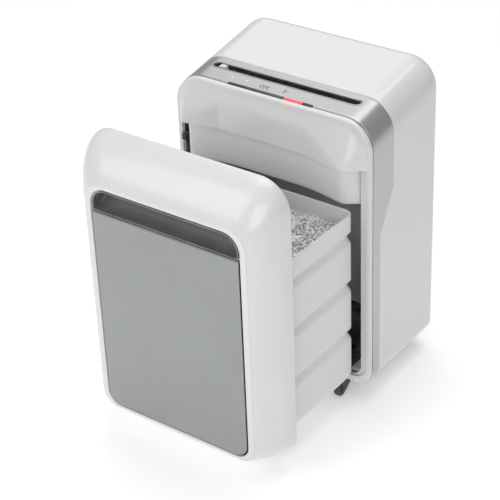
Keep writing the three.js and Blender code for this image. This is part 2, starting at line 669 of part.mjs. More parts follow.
// Crust of the heap, open underneath
function paperShreds() {
  const front = TUB_FRONT + 8;
  const rear = TUB_REAR - SHELL - 1;
  const heap = polygon([
    [front, TUB_BOTTOM + 4], [rear, TUB_BOTTOM + 4], [rear, HEAP_EDGE + 4], [rear - 45, HEAP_TOP],
    [front + 70, HEAP_TOP], [front, HEAP_EDGE],
  ]);
  const loose = polygon([
    [front + 2, 0], [rear - 2, 0], [rear - 2, HEAP_EDGE + 4 - HEAP_CRUST], [rear - 45, HEAP_TOP - HEAP_CRUST],
    [front + 70, HEAP_TOP - HEAP_CRUST], [front + 2, HEAP_EDGE - HEAP_CRUST],
  ]);
  return cut(alongX(heap, -151, 151), alongX(loose, -149, 149));
}

// Assembly
const machine = new THREE.Group();
machine.position.set(0, RIM_Y, CASTER_HEIGHT);
const bin = new THREE.Group();
bin.position.set(0, -PULL, 0);
machine.add(bin);

function piece(parent, name, solid, material) {
  const mesh = new THREE.Mesh(geometryOf(solid), material);
  mesh.name = name;
  parent.add(mesh);
}

piece(machine, 'rear_cover', rearCover(), WHITE_GLOSS);
piece(machine, 'front_frame', frontFrame(), WHITE_GLOSS);
piece(machine, 'control_band', controlBand(), BAND_SILVER);
piece(machine, 'trim_strip_left', trimStrip(-1), BAND_SILVER);
piece(machine, 'trim_strip_right', trimStrip(1), BAND_SILVER);
piece(machine, 'throat_bezel', throatBezel(), BAND_SILVER);
piece(machine, 'throat_guide', throatGuide(), WHITE_GLOSS);
piece(machine, 'light_bar_left', lightBar(LIGHT_BAR_LEFT + GAP, LIT_LEFT - GAP), BLACK_PLASTIC);
piece(machine, 'light_bar_lit', lightBar(LIT_LEFT, LIT_RIGHT), RED_LIGHT);
piece(machine, 'light_bar_right', lightBar(LIT_RIGHT + GAP, LIGHT_BAR_RIGHT - GAP), BLACK_PLASTIC);
piece(machine, 'power_icon', powerIcon(), ICON_WHITE);
piece(machine, 'reverse_icon', reverseIcon(), ICON_WHITE);
piece(machine, 'forward_icon', forwardIcon(), ICON_WHITE);
piece(machine, 'lower_housing', lowerHousing(), LIGHT_GREY);
piece(machine, 'base_tray', baseTray(), BLACK_STEEL);
piece(machine, 'rail_left', rail(-1), LIGHT_GREY);
piece(machine, 'rail_right', rail(1), LIGHT_GREY);
piece(machine, 'side_plate_left', sidePlate(-1), STEEL);
piece(machine, 'side_plate_right', sidePlate(1), STEEL);
piece(machine, 'front_left_bush', bush(-1, FRONT_SHAFT_Y), BRONZE);
piece(machine, 'front_right_bush', bush(1, FRONT_SHAFT_Y), BRONZE);
piece(machine, 'rear_left_bush', bush(-1, REAR_SHAFT_Y), BRONZE);
piece(machine, 'rear_right_bush', bush(1, REAR_SHAFT_Y), BRONZE);
piece(machine, 'tie_rod_front', tieRod(22, 424), STEEL);
piece(machine, 'tie_rod_rear', tieRod(142, 366), STEEL);
piece(machine, 'comb_front', stripperComb(17, [13, 15.5], 26), STEEL);
piece(machine, 'comb_rear', stripperComb(18, [82.5, 85], 72), STEEL);
piece(machine, 'motor_case', motorCase(), HARD_STEEL);
piece(machine, 'idler_axle', cylinderX(PLATE_INNER_X, 157, IDLER_Y, IDLER_Z, 3.3, 12), STEEL);
piece(machine, 'control_board', box(-100, 100, 12, 33, 452, 453.6), BOARD_GREEN);
piece(machine, 'power_board', box(-70, 70, 176, 177.6, 372, 440), BOARD_GREEN);
piece(machine, 'paper_sensor', paperSensor(), BLACK_PLASTIC);
piece(machine, 'bin_switch', binSwitch(), BLACK_PLASTIC);
piece(machine, 'vent_grille', ventGrille(), LIGHT_GREY);
piece(machine, 'power_inlet', powerInlet(), BLACK_PLASTIC);
piece(machine, 'rocker_frame', rockerFrame(), BLACK_PLASTIC);

piece(machine, 'front_cutter', cutterShaft(FRONT_SHAFT_Y, 17, -151, 138), HARD_STEEL);
piece(machine, 'rear_cutter', cutterShaft(REAR_SHAFT_Y, 18, -151, 150), HARD_STEEL);
piece(machine, 'front_sync_gear',
  gear(SYNC_TEETH, SYNC_MODULE, 6.3, meshPhase(Math.PI, SYNC_TEETH), -149, -141, FRONT_SHAFT_Y, SHAFT_HEIGHT), STEEL);
piece(machine, 'rear_sync_gear',
  gear(SYNC_TEETH, SYNC_MODULE, 6.3, Math.PI, -149, -141, REAR_SHAFT_Y, SHAFT_HEIGHT), STEEL);
piece(machine, 'drive_gear',
  gear(DRIVE_TEETH, DRIVE_MODULE, 6.3, IDLER_ANGLE, 140, 148, REAR_SHAFT_Y, SHAFT_HEIGHT), STEEL);
piece(machine, 'idler_gear', idlerGear(), GEAR_NYLON);
piece(machine, 'motor_pinion', motorPinion(), STEEL);
piece(machine, 'rocker', rocker(), BLACK_PLASTIC);
piece(machine, 'switch_plunger', switchPlunger(), BLACK_PLASTIC);

const casters = {
  front_left: [-CASTER_X, FRONT_CASTER_Y, -1],
  front_right: [CASTER_X, FRONT_CASTER_Y, -1],
  rear_left: [-CASTER_X, REAR_CASTER_Y, 1],
  rear_right: [CASTER_X, REAR_CASTER_Y, 1],
};
for (const [corner, place] of Object.entries(casters)) {
  piece(machine, `${corner}_fork`, casterFork(...place), CASTER_GREY);
  piece(machine, `${corner}_wheel`, casterWheel(...place), CASTER_GREY);
}

piece(bin, 'bin_panel', binPanel(), WHITE_GLOSS);
piece(bin, 'inset_plate', insetPlate(), SATIN_SILVER);
piece(bin, 'handle_pocket', handlePocket(), POCKET_GREY);
piece(bin, 'bin_tub', binTub(), LIGHT_GREY);
piece(bin, 'panel_screw_left', panelScrew(-100), STEEL);
piece(bin, 'panel_screw_right', panelScrew(100), STEEL);
piece(bin, 'paper_shreds', paperShreds(), PAPER_WHITE);

export default machine;
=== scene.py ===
"""Looks of a paper shredder with its waste bin drawn out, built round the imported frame.

Shapes are given in millimetres, measured from the body (front rim plane and underside) or from the
bin (back of its front panel and the same underside), and are turned into metres when a mesh is made.
"""

import json
import logging
import math
from dataclasses import dataclass, field
from enum import Enum

import bmesh
import bpy
import numpy as np
from mathutils import Matrix, Vector


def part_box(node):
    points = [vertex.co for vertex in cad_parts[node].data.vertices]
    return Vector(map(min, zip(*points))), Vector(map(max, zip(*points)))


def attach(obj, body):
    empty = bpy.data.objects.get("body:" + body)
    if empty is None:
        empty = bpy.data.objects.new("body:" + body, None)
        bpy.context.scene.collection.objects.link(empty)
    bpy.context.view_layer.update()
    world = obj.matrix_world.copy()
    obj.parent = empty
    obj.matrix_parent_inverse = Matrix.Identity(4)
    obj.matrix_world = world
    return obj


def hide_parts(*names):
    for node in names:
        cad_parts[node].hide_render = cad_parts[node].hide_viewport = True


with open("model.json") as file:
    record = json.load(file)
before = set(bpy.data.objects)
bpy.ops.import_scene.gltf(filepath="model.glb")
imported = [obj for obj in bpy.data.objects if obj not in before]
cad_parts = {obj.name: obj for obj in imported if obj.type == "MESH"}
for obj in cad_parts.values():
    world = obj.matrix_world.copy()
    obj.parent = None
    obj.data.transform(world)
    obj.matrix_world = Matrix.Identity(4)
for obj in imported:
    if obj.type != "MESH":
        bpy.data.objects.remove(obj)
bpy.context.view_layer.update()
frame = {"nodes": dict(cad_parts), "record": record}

LOG = logging.getLogger("shredder")
MM = 0.001
SHARP = math.radians(32)
QUARTER = math.pi / 2
Array = np.ndarray
Colour = tuple[float, float, float]
Pairs = list[tuple[float, float]]
Node, Socket = bpy.types.Node, bpy.types.NodeSocket


# --------------------------------------------------------------------------- surfaces


def steps(count: int, last: bool = False) -> Array:
    """Evenly spaced parameters from 0 towards 1.

    Args:
        count: how many values.
        last: whether the value 1 is one of them.

    Returns:
        The values, as one row.
    """
    return np.linspace(0.0, 1.0, count, endpoint=last)


def spread(*values: "float | Array") -> list[Array]:
    """Numbers or rows of numbers as columns of one length, ready to meet a row of parameters."""
    return [v[:, None] for v in np.broadcast_arrays(*[np.atleast_1d(np.asarray(v, float)) for v in values])]


def rounded_outline(half_width: "float | Array", bottom: "float | Array", top: "float | Array",
                    bottom_radius: "float | Array", top_radius: "float | Array",
                    arc: int = 12, side: int = 8, span: int = 14) -> Array:
    """Closed outlines of rectangles with round corners, symmetrical about the first axis.

    The right half runs along the bottom from the middle, round the lower corner as radius times sine
    and cosine, up the side, round the upper corner and back to the middle. The left half mirrors it.

    Args:
        half_width: half the width, one number or one for each outline.
        bottom: lowest level.
        top: highest level.
        bottom_radius: radius of the two lower corners.
        top_radius: radius of the two upper corners.
        arc: points along a corner.
        side: points along a side.
        span: points along half of the bottom or of the top.

    Returns:
        Array of outlines by points by two.
    """
    w, b, t, rb, rt = spread(half_width, bottom, top, bottom_radius, top_radius)
    line, flank, turn = steps(span)[None], steps(side)[None], steps(arc)[None] * QUARTER
    across = np.concatenate([line * (w - rb), w - rb + rb * np.sin(turn), w + 0 * flank,
                             w - rt + rt * np.cos(turn), (w - rt) * (1 - line), 0 * w], axis=1)
    level = np.concatenate([b + 0 * line, b + rb - rb * np.cos(turn), b + rb + flank * (t - rt - b - rb),
                            t - rt + rt * np.sin(turn), t + 0 * line, t], axis=1)
    across = np.concatenate([across, -across[:, -2:0:-1]], axis=1)
    level = np.concatenate([level, level[:, -2:0:-1]], axis=1)
    return np.stack([across, level], axis=-1)


def rounded_polygon(corners: Pairs, radius: "float | list[float]", arc: int = 6) -> Array:
    """Closed outline of a polygon whose corners are rounded.

    Each corner is a quadratic curve that leaves one edge and joins the next at the radius from the
    corner: (1-t)^2 of the start, 2t(1-t) of the corner and t^2 of the end.

    Args:
        corners: the polygon's corners in order.
        radius: reach of the rounding along each edge, one number or one for each corner.
        arc: points along a corner.

    Returns:
        Array of points by two.
    """
    at = np.array(corners, float)
    reach = np.broadcast_to(np.asarray(radius, float), (len(at),))[:, None]
    ends = []
    for shift in (1, -1):
        edge = np.roll(at, shift, axis=0) - at
        length = np.linalg.norm(edge, axis=1, keepdims=True)
        ends.append(at + edge / length * np.minimum(reach, 0.48 * length))
    t = steps(arc, last=True)[None, :, None]
    curve = (1 - t) ** 2 * ends[0][:, None] + 2 * t * (1 - t) * at[:, None] + t ** 2 * ends[1][:, None]
    return curve.reshape(-1, 2)


def shrink(outline: Array, inset: float) -> Array:
    """An outline moved inwards by a distance along its own normals.

    Args:
        outline: closed outline, points by two, either way round.
        inset: distance inwards, in the outline's units.

    Returns:
        The moved outline.
    """
    ahead, behind = np.roll(outline, -1, axis=0) - outline, outline - np.roll(outline, 1, axis=0)
    ahead /= np.maximum(np.linalg.norm(ahead, axis=1, keepdims=True), 1e-9)
    behind /= np.maximum(np.linalg.norm(behind, axis=1, keepdims=True), 1e-9)
    tangent = ahead + behind
    size = np.maximum(np.linalg.norm(tangent, axis=1, keepdims=True), 1e-9)
    tangent /= size
    following = np.roll(outline, -1, axis=0)
    area = np.sum(outline[:, 0] * following[:, 1] - following[:, 0] * outline[:, 1])
    normal = np.stack([-tangent[:, 1], tangent[:, 0]], axis=1) * np.sign(area)
    mitre = np.clip(2 / size, 1.0, 1.4)
    return outline + normal * mitre * inset


def smooth_least(a: Array, b: Array, blend: float) -> Array:
    """The lesser of two fields, with a rounded valley: the least minus h^2 times a quarter of the blend."""
    near = np.maximum(blend - np.abs(a - b), 0) / blend
    return np.minimum(a, b) - near ** 2 * blend / 4


def smooth_step(low: float, high: float, value: Array) -> Array:
    """0 below low, 1 above high and 3t^2 - 2t^3 between them."""
    t = np.clip((value - low) / (high - low), 0, 1)
    return t * t * (3 - 2 * t)


def grid_faces(rows: int, cols: int, wrap_rows: bool, wrap_cols: bool) -> Array:
    """Four-sided faces between neighbouring points of a grid.

    Args:
        rows: rows of points.
        cols: points in a row.
        wrap_rows: whether the last row joins the first.
        wrap_cols: whether a row's last point joins its first.

    Returns:
        Array of faces by four point numbers.
    """
    row, col = np.meshgrid(np.arange(rows if wrap_rows else rows - 1),
                           np.arange(cols if wrap_cols else cols - 1), indexing="ij")
    next_row, next_col = (row + 1) % rows, (col + 1) % cols
    corners = [row * cols + col, row * cols + next_col, next_row * cols + next_col, next_row * cols + col]
    return np.stack(corners, axis=-1).reshape(-1, 4)


@dataclass(frozen=True)
class Datum:
    """Point in the frame, in metres, that millimetre sizes are measured from."""

    x: float
    y: float
    z: float

    def metres(self, points: Array) -> Array:
        """Points in millimetres from this datum as points in the frame, in metres."""
        return np.asarray(points, float) * MM + np.array([self.x, self.y, self.z])

    def millimetres(self, points: Array) -> Array:
        """Points in the frame, in metres, as points in millimetres from this datum."""
        return (np.asarray(points, float) - np.array([self.x, self.y, self.z])) / MM


class Shape:
    """Faces and points gathered for one mesh."""

    def __init__(self, datum: Datum) -> None:
        """Starts an empty shape measured from a datum."""
        self.datum = datum
        self.points: list[Array] = []
        self.faces: list[list[int]] = []
        self.count = 0

    def add(self, points: Array, faces: "list[list[int]]") -> "Shape":
        """Adds points in millimetres and the faces between them."""
        self.points.append(np.asarray(points, float).reshape(-1, 3))
        self.faces += [[i + self.count for i in face] for face in faces] if self.count else faces
        self.count += len(self.points[-1])
        return self

    def loft(self, rows: Array, ring: bool = False) -> "Shape":
        """Adds a closed skin over rows of points.

        Args:
            rows: rows by points by three, each row a closed loop.
            ring: whether the last row joins the first. Otherwise each end is closed by one flat face.

        Returns:
            This shape.
        """
        count, cols = rows.shape[:2]
        faces = grid_faces(count, cols, ring, True).tolist()
        if not ring:
            faces.append(list(range(cols))[::-1])
            faces.append(list(range((count - 1) * cols, count * cols)))
        return self.add(rows, faces)

    def mesh(self, name: str, sharp: float = SHARP) -> bpy.types.Object:
        """Makes the mesh object.

        Args:
            name: the piece's name.
            sharp: edges bent more than this many radians stay sharp.

        Returns:
            The object, at the origin, with its faces pointing out.
        """
        data = bpy.data.meshes.new(name)
        data.from_pydata(self.datum.metres(np.concatenate(self.points)).tolist(), [], self.faces)
        piece = bpy.data.objects.new(name, data)
        bpy.context.scene.collection.objects.link(piece)
        tidy(piece, sharp)
        return piece


def tidy(piece: bpy.types.Object, sharp: float = SHARP) -> None:
    """Merges doubled points, turns faces outwards and shades smooth between sharp edges."""
    work = bmesh.new()
    work.from_mesh(piece.data)
    bmesh.ops.remove_doubles(work, verts=work.verts, dist=2e-6)
    bmesh.ops.dissolve_degenerate(work, edges=work.edges, dist=1e-6)
    bmesh.ops.recalc_face_normals(work, faces=work.faces)
    work.to_mesh(piece.data)
    work.free()
    piece.data.shade_smooth()
    piece.data.set_sharp_from_angle(angle=sharp)


def cut_out(piece: bpy.types.Object, *tools: bpy.types.Object) -> None:
    """Takes other meshes out of a piece, then removes them."""
    for tool in tools:
        change = piece.modifiers.new("cut", "BOOLEAN")
        change.operation = "DIFFERENCE"
        change.solver = "EXACT"
        change.object = tool
    bpy.context.view_layer.update()
    seen = piece.evaluated_get(bpy.context.evaluated_depsgraph_get())
    result = bpy.data.meshes.new_from_object(seen)
    piece.modifiers.clear()
    piece.data = result
    for tool in tools:
        bpy.data.objects.remove(tool)
    piece.data.shade_smooth()
    piece.data.set_sharp_from_angle(angle=SHARP)


class Axis(Enum):
    """Axis that an outline is carried along, with the order its three numbers take."""

    X = (2, 0, 1)
    Y = (0, 2, 1)
    Z = (0, 1, 2)


def prism(outline: Array, start: float, end: float, roll: float, axis: Axis = Axis.Y,
          facets: int = 3) -> Array:
    """Rows of a solid whose section is carried along an axis, its two end edges rolled over.

    Near each end the outline shrinks by roll times one minus the sine, while it advances by roll
    times one minus the cosine.

    Args:
        outline: the section, points by two.
        start: where it starts along the axis.
        end: where it ends.
        roll: radius of the rolled edges.
        axis: the axis it is carried along.
        facets: facets across each rolled edge.

    Returns:
        Rows by points by three.
    """
    turn = steps(facets + 1, last=True) * QUARTER
    inset = np.concatenate([roll * (1 - np.sin(turn)), roll * (1 - np.cos(turn))])
    along = np.concatenate([start + roll * (1 - np.cos(turn)), end - roll * (1 - np.sin(turn))])
    rows = np.stack([shrink(outline, d) for d in inset])
    third = np.broadcast_to(along[:, None, None], rows.shape[:2] + (1,))
    return np.concatenate([rows, third], axis=-1)[..., list(axis.value)]


def lathe(profile: Pairs, centre: tuple[float, float, float], axis: Axis,
          facets: int = 40) -> Array:
    """Rows of a turned solid: each profile point is carried round the axis as radius times cosine and sine.

    Args:
        profile: pairs of distance along the axis and radius.
        centre: where the axis passes.
        axis: the axis of turning.
        facets: points round each row.

    Returns:
        Rows by points by three.
    """
    along, radius = np.array(profile, float).T
    angle = steps(facets) * 2 * math.pi
    flat = [radius[:, None] * np.cos(angle), radius[:, None] * np.sin(angle)]
    rows = np.stack(flat + [np.broadcast_to(along[:, None], flat[0].shape)], axis=-1)
    return rows[..., list(axis.value)] + np.array(centre)


# --------------------------------------------------------------------------- finishes


class Tree:
    """Short way to place and link shader nodes in one node tree."""

    def __init__(self, tree: bpy.types.NodeTree) -> None:
        """Takes a tree, emptied of its nodes."""
        self.tree = tree
        tree.nodes.clear()

    def node(self, kind: str, inputs: "dict[str | int, object] | None" = None, **settings: object) -> Node:
        """Places a node.

        Args:
            kind: the node's type without its Shader prefix.
            inputs: value or source socket for each input, by name or number.
            settings: properties of the node itself.

        Returns:
            The node.
        """
        made = self.tree.nodes.new("ShaderNode" + kind)
        for key, value in settings.items():
            setattr(made, key, value)
        for key, value in (inputs or {}).items():
            if isinstance(value, Socket):
                self.tree.links.new(value, made.inputs[key])
            else:
                made.inputs[key].default_value = value
        return made

    def maths(self, kind: str, a: object, b: object = 0.0) -> Socket:
        """Result socket of a Math node."""
        return self.node("Math", {0: a, 1: b}, operation=kind).outputs[0]

    def spans(self, value: object, low: float, high: float, to_low: float = 0.0,
              to_high: float = 1.0) -> Socket:
        """Result socket of a Map Range node from low to high."""
        return self.node("MapRange", {"Value": value, "From Min": low, "From Max": high, "To Min": to_low,
                                      "To Max": to_high}).outputs["Result"]

    def mix(self, factor: object, a: object, b: object) -> Socket:
        """Result socket of a colour mix."""
        return self.node("Mix", {0: factor, 6: a, 7: b}, data_type="RGBA").outputs[2]

    def noise(self, place: Socket, scale: object, detail: float, roughness: float = 0.5) -> Socket:
        """Factor socket of a Noise Texture node."""
        return self.node("TexNoise", {"Vector": place, "Scale": scale, "Detail": detail,
                                      "Roughness": roughness}).outputs[0]


class EffectTree(Tree):
    """Tree of one shared shader node group, which takes the object's coordinates as Place."""

    def __init__(self, name: str, gives: tuple[str, ...], **takes: "float | tuple[float, ...]") -> None:
        """Starts the group with its sockets.

        Args:
            name: the group's name.
            gives: names of the outputs, of which Colour is a colour and any other a number.
            takes: starting value of each input, a colour as four numbers.
        """
        super().__init__(bpy.data.node_groups.new(name, "ShaderNodeTree"))
        face = self.tree.interface
        face.new_socket("Place", in_out="INPUT", socket_type="NodeSocketVector")
        for label, value in takes.items():
            kind = "Color" if isinstance(value, tuple) else "Float"
            face.new_socket(label, in_out="INPUT", socket_type="NodeSocket" + kind).default_value = value
        for label in gives:
            kind = "Color" if label == "Colour" else "Float"
            face.new_socket(label, in_out="OUTPUT", socket_type="NodeSocket" + kind)
        self.given = self.tree.nodes.new("NodeGroupInput").outputs
        self.result = self.tree.nodes.new("NodeGroupOutput").inputs

    def give(self, label: str, value: Socket) -> None:
        """Links a socket to one of the group's outputs."""
        self.tree.links.new(value, self.result[label])


GREY = (0.8, 0.8, 0.8, 1.0)


def moulded_grain() -> bpy.types.NodeTree:
    """Group: fine moulded texture. Height is fine noise and a third of coarser noise, times Depth."""
    tree = EffectTree("moulded_grain", ("Height",), Scale=900.0, Depth=0.2)
    place, scale = tree.given["Place"], tree.given["Scale"]
    wide = tree.noise(place, tree.maths("MULTIPLY", scale, 0.12), 2.0)
    both = tree.maths("ADD", tree.noise(place, scale, 3.0), tree.maths("MULTIPLY", wide, 0.35))
    tree.give("Height", tree.maths("MULTIPLY", both, tree.given["Depth"]))
    return tree.tree


def tone_drift() -> bpy.types.NodeTree:
    """Group: slow variation of tone and of roughness over a moulded or painted surface."""
    tree = EffectTree("tone_drift", ("Colour", "Roughness"), Colour=GREY, Roughness=0.4, Scale=7.0,
                      Amount=0.03)
    place, scale, amount = (tree.given[name] for name in ("Place", "Scale", "Amount"))
    slow = tree.noise(place, scale, 4.0, 0.6)
    swing = tree.maths("MULTIPLY", tree.spans(slow, 0.3, 0.7, -1.0, 1.0), amount)
    level = tree.maths("ADD", swing, 1.0)
    rubbed = tree.noise(place, tree.maths("MULTIPLY", scale, 5.0), 5.0)
    uneven = tree.maths("MULTIPLY", tree.spans(rubbed, 0.3, 0.7, -1.0, 1.0), amount)
    toned = tree.node("HueSaturation", {"Color": tree.given["Colour"], "Value": level})
    tree.give("Colour", toned.outputs[0])
    tree.give("Roughness", tree.maths("ADD", tree.given["Roughness"], tree.maths("MULTIPLY", uneven, 1.6)))
    return tree.tree


def edge_wear() -> bpy.types.NodeTree:
    """Group: handled edges, where a convex edge is rubbed lighter in broken patches."""
    tree = EffectTree("edge_wear", ("Colour", "Mask"), Colour=GREY, Worn=(1.0, 1.0, 1.0, 1.0), Amount=0.2)
    edge = tree.spans(tree.node("NewGeometry").outputs["Pointiness"], 0.52, 0.62)
    patch = tree.noise(tree.given["Place"], 60.0, 5.0)
    broken = tree.maths("MULTIPLY", edge, tree.spans(patch, 0.38, 0.62))
    mask = tree.maths("MULTIPLY", broken, tree.given["Amount"])
    tree.give("Mask", mask)
    tree.give("Colour", tree.mix(mask, tree.given["Colour"], tree.given["Worn"]))
    return tree.tree


def settled_dust() -> bpy.types.NodeTree:
    """Group: paper dust that settles on faces turned upwards, in soft patches with fine specks."""
    tree = EffectTree("settled_dust", ("Colour", "Roughness"), Colour=GREY, Roughness=0.4, Amount=0.1)
    place = tree.given["Place"]
    upward = tree.node("SeparateXYZ", {0: tree.node("NewGeometry").outputs["Normal"]}).outputs[2]
    patch, speck = tree.noise(place, 18.0, 6.0), tree.noise(place, 700.0, 2.0)
    lies = tree.maths("MULTIPLY", tree.spans(upward, 0.5, 0.95), tree.spans(patch, 0.35, 0.7))
    lies = tree.maths("MULTIPLY", lies, tree.spans(speck, 0.35, 0.65, 0.4, 1.0))
    mask = tree.maths("MULTIPLY", lies, tree.given["Amount"])
    tree.give("Colour", tree.mix(mask, tree.given["Colour"], (0.78, 0.77, 0.75, 1)))
    tree.give("Roughness", tree.maths("ADD", tree.given["Roughness"], tree.maths("MULTIPLY", mask, 0.4)))
    return tree.tree


def metal_flake() -> bpy.types.NodeTree:
    """Group: flakes in a metallic paint, as small cells of differing tone, with a fine vertical brush."""
    tree = EffectTree("metal_flake", ("Colour", "Height"), Colour=(0.6, 0.6, 0.6, 1.0), Scale=2500.0,
                      Amount=0.08, Brush=0.0)
    place, amount, brush = (tree.given[name] for name in ("Place", "Amount", "Brush"))
    cells = tree.node("TexVoronoi", {"Vector": place, "Scale": tree.given["Scale"]})
    tint = tree.node("SeparateColor", {0: cells.outputs["Color"]}).outputs[0]
    drawn = tree.node("VectorMath", {0: place, 1: (1.0, 1.0, 0.012)}, operation="MULTIPLY")
    lines = tree.noise(drawn.outputs[0], 1400.0, 3.0)
    swing = tree.maths("MULTIPLY", tree.spans(tint, 0.0, 1.0, -1.0, 1.0), amount)
    stroke = tree.maths("MULTIPLY", tree.spans(lines, 0.3, 0.7, -1.0, 1.0), brush)
    level = tree.maths("ADD", tree.maths("ADD", swing, stroke), 1.0)
    toned = tree.node("HueSaturation", {"Color": tree.given["Colour"], "Value": level})
    tree.give("Colour", toned.outputs[0])
    tree.give("Height", tree.maths("ADD", tree.maths("MULTIPLY", tint, amount),
                                   tree.maths("MULTIPLY", lines, brush)))
    return tree.tree


def printed_specks() -> bpy.types.NodeTree:
    """Group: scraps of printed text, where fine noise passes a limit inside broader patches."""
    tree = EffectTree("printed_specks", ("Colour",), Colour=(0.9, 0.9, 0.9, 1.0),
                      Ink=(0.03, 0.03, 0.035, 1.0), Amount=0.5)
    fine, patch = tree.noise(tree.given["Place"], 420.0, 3.0), tree.noise(tree.given["Place"], 45.0, 2.0)
    marks = tree.maths("MULTIPLY", tree.spans(fine, 0.56, 0.60), tree.spans(patch, 0.44, 0.56))
    mask = tree.maths("MULTIPLY", marks, tree.given["Amount"])
    tree.give("Colour", tree.mix(mask, tree.given["Colour"], tree.given["Ink"]))
    return tree.tree


class Effects:
    """The shader node groups, each built once."""

    def __init__(self) -> None:
        """Builds the groups."""
        self.grain = moulded_grain()
        self.drift = tone_drift()
        self.wear = edge_wear()
        self.dust = settled_dust()
        self.flake = metal_flake()
        self.ink = printed_specks()


@dataclass(frozen=True)
class Finish:
    """One finish of the machine, as a moulded or painted surface."""

    name: str
    colour: Colour
    roughness: float
    metallic: float = 0.0
    coat: float = 0.0
    specular: float = 0.5
    grain_scale: float = 900.0
    grain_depth: float = 0.25
    drift: float = 0.02
    worn: Colour = (0.95, 0.95, 0.95)
    wear: float = 0.15
    dust: float = 0.08
    flake: float = 0.0
    brush: float = 0.0
    ink: float = 0.0
    glow: float = 0.0

    def material(self, effects: Effects) -> bpy.types.Material:
        """Builds the node material.

        Args:
            effects: the shared node groups.

        Returns:
            The material.
        """
        made = bpy.data.materials.new(self.name)
        made.use_nodes = True
        tree = Tree(made.node_tree)
        place = tree.node("TexCoord").outputs["Object"]

        def group(kind: bpy.types.NodeTree, **inputs: object) -> bpy.types.NodeOutputs:
            """Outputs of a shared group, fed with the object's own coordinates."""
            return tree.node("Group", {"Place": place} | inputs, node_tree=kind).outputs

        drift = group(effects.drift, Colour=self.colour + (1,), Roughness=self.roughness, Amount=self.drift)
        colour = drift["Colour"]
        height = group(effects.grain, Scale=self.grain_scale, Depth=self.grain_depth)["Height"]
        if self.flake or self.brush:
            flake = group(effects.flake, Colour=colour, Amount=self.flake, Brush=self.brush)
            colour = flake["Colour"]
            height = tree.maths("ADD", height, flake["Height"])
        if self.ink:
            colour = group(effects.ink, Colour=colour, Amount=self.ink)["Colour"]
        colour = group(effects.wear, Colour=colour, Worn=self.worn + (1,), Amount=self.wear)["Colour"]
        dust = group(effects.dust, Colour=colour, Roughness=drift["Roughness"], Amount=self.dust)
        bump = tree.node("Bump", {"Height": height, "Strength": 0.12, "Distance": 0.0002})
        shader = tree.node("BsdfPrincipled", {
            "Base Color": dust["Colour"], "Roughness": dust["Roughness"], "Normal": bump.outputs[0],
            "Metallic": self.metallic, "Coat Weight": self.coat, "Coat Roughness": 0.08,
            "Specular IOR Level": self.specular})
        if self.glow:
            tree.tree.links.new(dust["Colour"], shader.inputs["Emission Color"])
            shader.inputs["Emission Strength"].default_value = self.glow
        output = tree.node("OutputMaterial")
        tree.tree.links.new(shader.outputs[0], output.inputs[0])
        made.diffuse_color = self.colour + (1,)
        return made


FINISHES: dict[str, Finish] = {
    "white_gloss": Finish(
        "gloss_white_plastic", (0.76, 0.76, 0.757), 0.24, coat=0.25, grain_depth=0.05, drift=0.012),
    "light_grey": Finish(
        "light_grey_plastic", (0.79, 0.795, 0.795), 0.42, grain_depth=0.35, drift=0.02, dust=0.16),
    "satin_silver": Finish(
        "satin_silver_plate", (0.33, 0.34, 0.343), 0.38, metallic=0.45, flake=0.03, brush=0.02, drift=0.03,
        wear=0.3, dust=0.03),
    "band_silver": Finish(
        "silver_band_paint", (0.47, 0.475, 0.48), 0.3, metallic=0.6, coat=0.3, grain_depth=0.1, flake=0.02,
        drift=0.015, wear=0.2, dust=0.03),
    # Dark grey: on the handle pocket it is painted shade under the lip; on the reverse and forward marks it
    # is their print.
    "pocket_grey": Finish(
        "pocket_shade_and_icon_grey", (0.13, 0.135, 0.14), 0.45, grain_depth=0.5, wear=0.1, dust=0.1),
    "black_plastic": Finish(
        "black_plastic", (0.022, 0.022, 0.024), 0.42, grain_depth=0.5, worn=(0.2, 0.2, 0.2), wear=0.3,
        dust=0.12),
    "black_steel": Finish(
        "powder_coated_steel", (0.03, 0.03, 0.032), 0.5, grain_scale=600.0, grain_depth=0.9,
        worn=(0.35, 0.35, 0.36), wear=0.4, dust=0.25),
    "caster_grey": Finish(
        "caster_nylon", (0.062, 0.065, 0.07), 0.5, grain_depth=0.6, worn=(0.25, 0.25, 0.25), wear=0.4,
        dust=0.2),
    "steel": Finish(
        "zinced_steel", (0.55, 0.56, 0.57), 0.34, metallic=1.0, flake=0.12, brush=0.05, drift=0.06, wear=0.3,
        dust=0.2),
    "hard_steel": Finish(
        "hardened_steel", (0.30, 0.31, 0.33), 0.3, metallic=1.0, flake=0.06, brush=0.08, drift=0.08,
        worn=(0.75, 0.75, 0.75), wear=0.5, dust=0.25),
    "bronze": Finish(
        "sintered_bronze", (0.47, 0.29, 0.12), 0.42, metallic=1.0, flake=0.15, drift=0.08, wear=0.3),
    "gear_nylon": Finish(
        "natural_nylon", (0.68, 0.65, 0.54), 0.45, grain_depth=0.4, drift=0.04, dust=0.2),
    "board_green": Finish(
        "green_board", (0.018, 0.12, 0.05), 0.35, coat=0.4, grain_depth=0.6, drift=0.08,
        worn=(0.5, 0.42, 0.2), wear=0.3, dust=0.2),
    "red_light": Finish(
        "red_lens", (0.80, 0.03, 0.045), 0.2, coat=0.5, grain_depth=0.1, drift=0.08, wear=0.05, glow=0.55),
    "icon_white": Finish(
        "printed_icon", (0.85, 0.85, 0.85), 0.5, grain_depth=0.1, drift=0.05, wear=0.1, dust=0.02),
    "shredded_paper": Finish(
        "cut_paper", (0.90, 0.90, 0.895), 0.85, specular=0.2, grain_scale=1800.0, grain_depth=1.0, drift=0.06,
        wear=0.0, dust=0.0, ink=0.9),
}


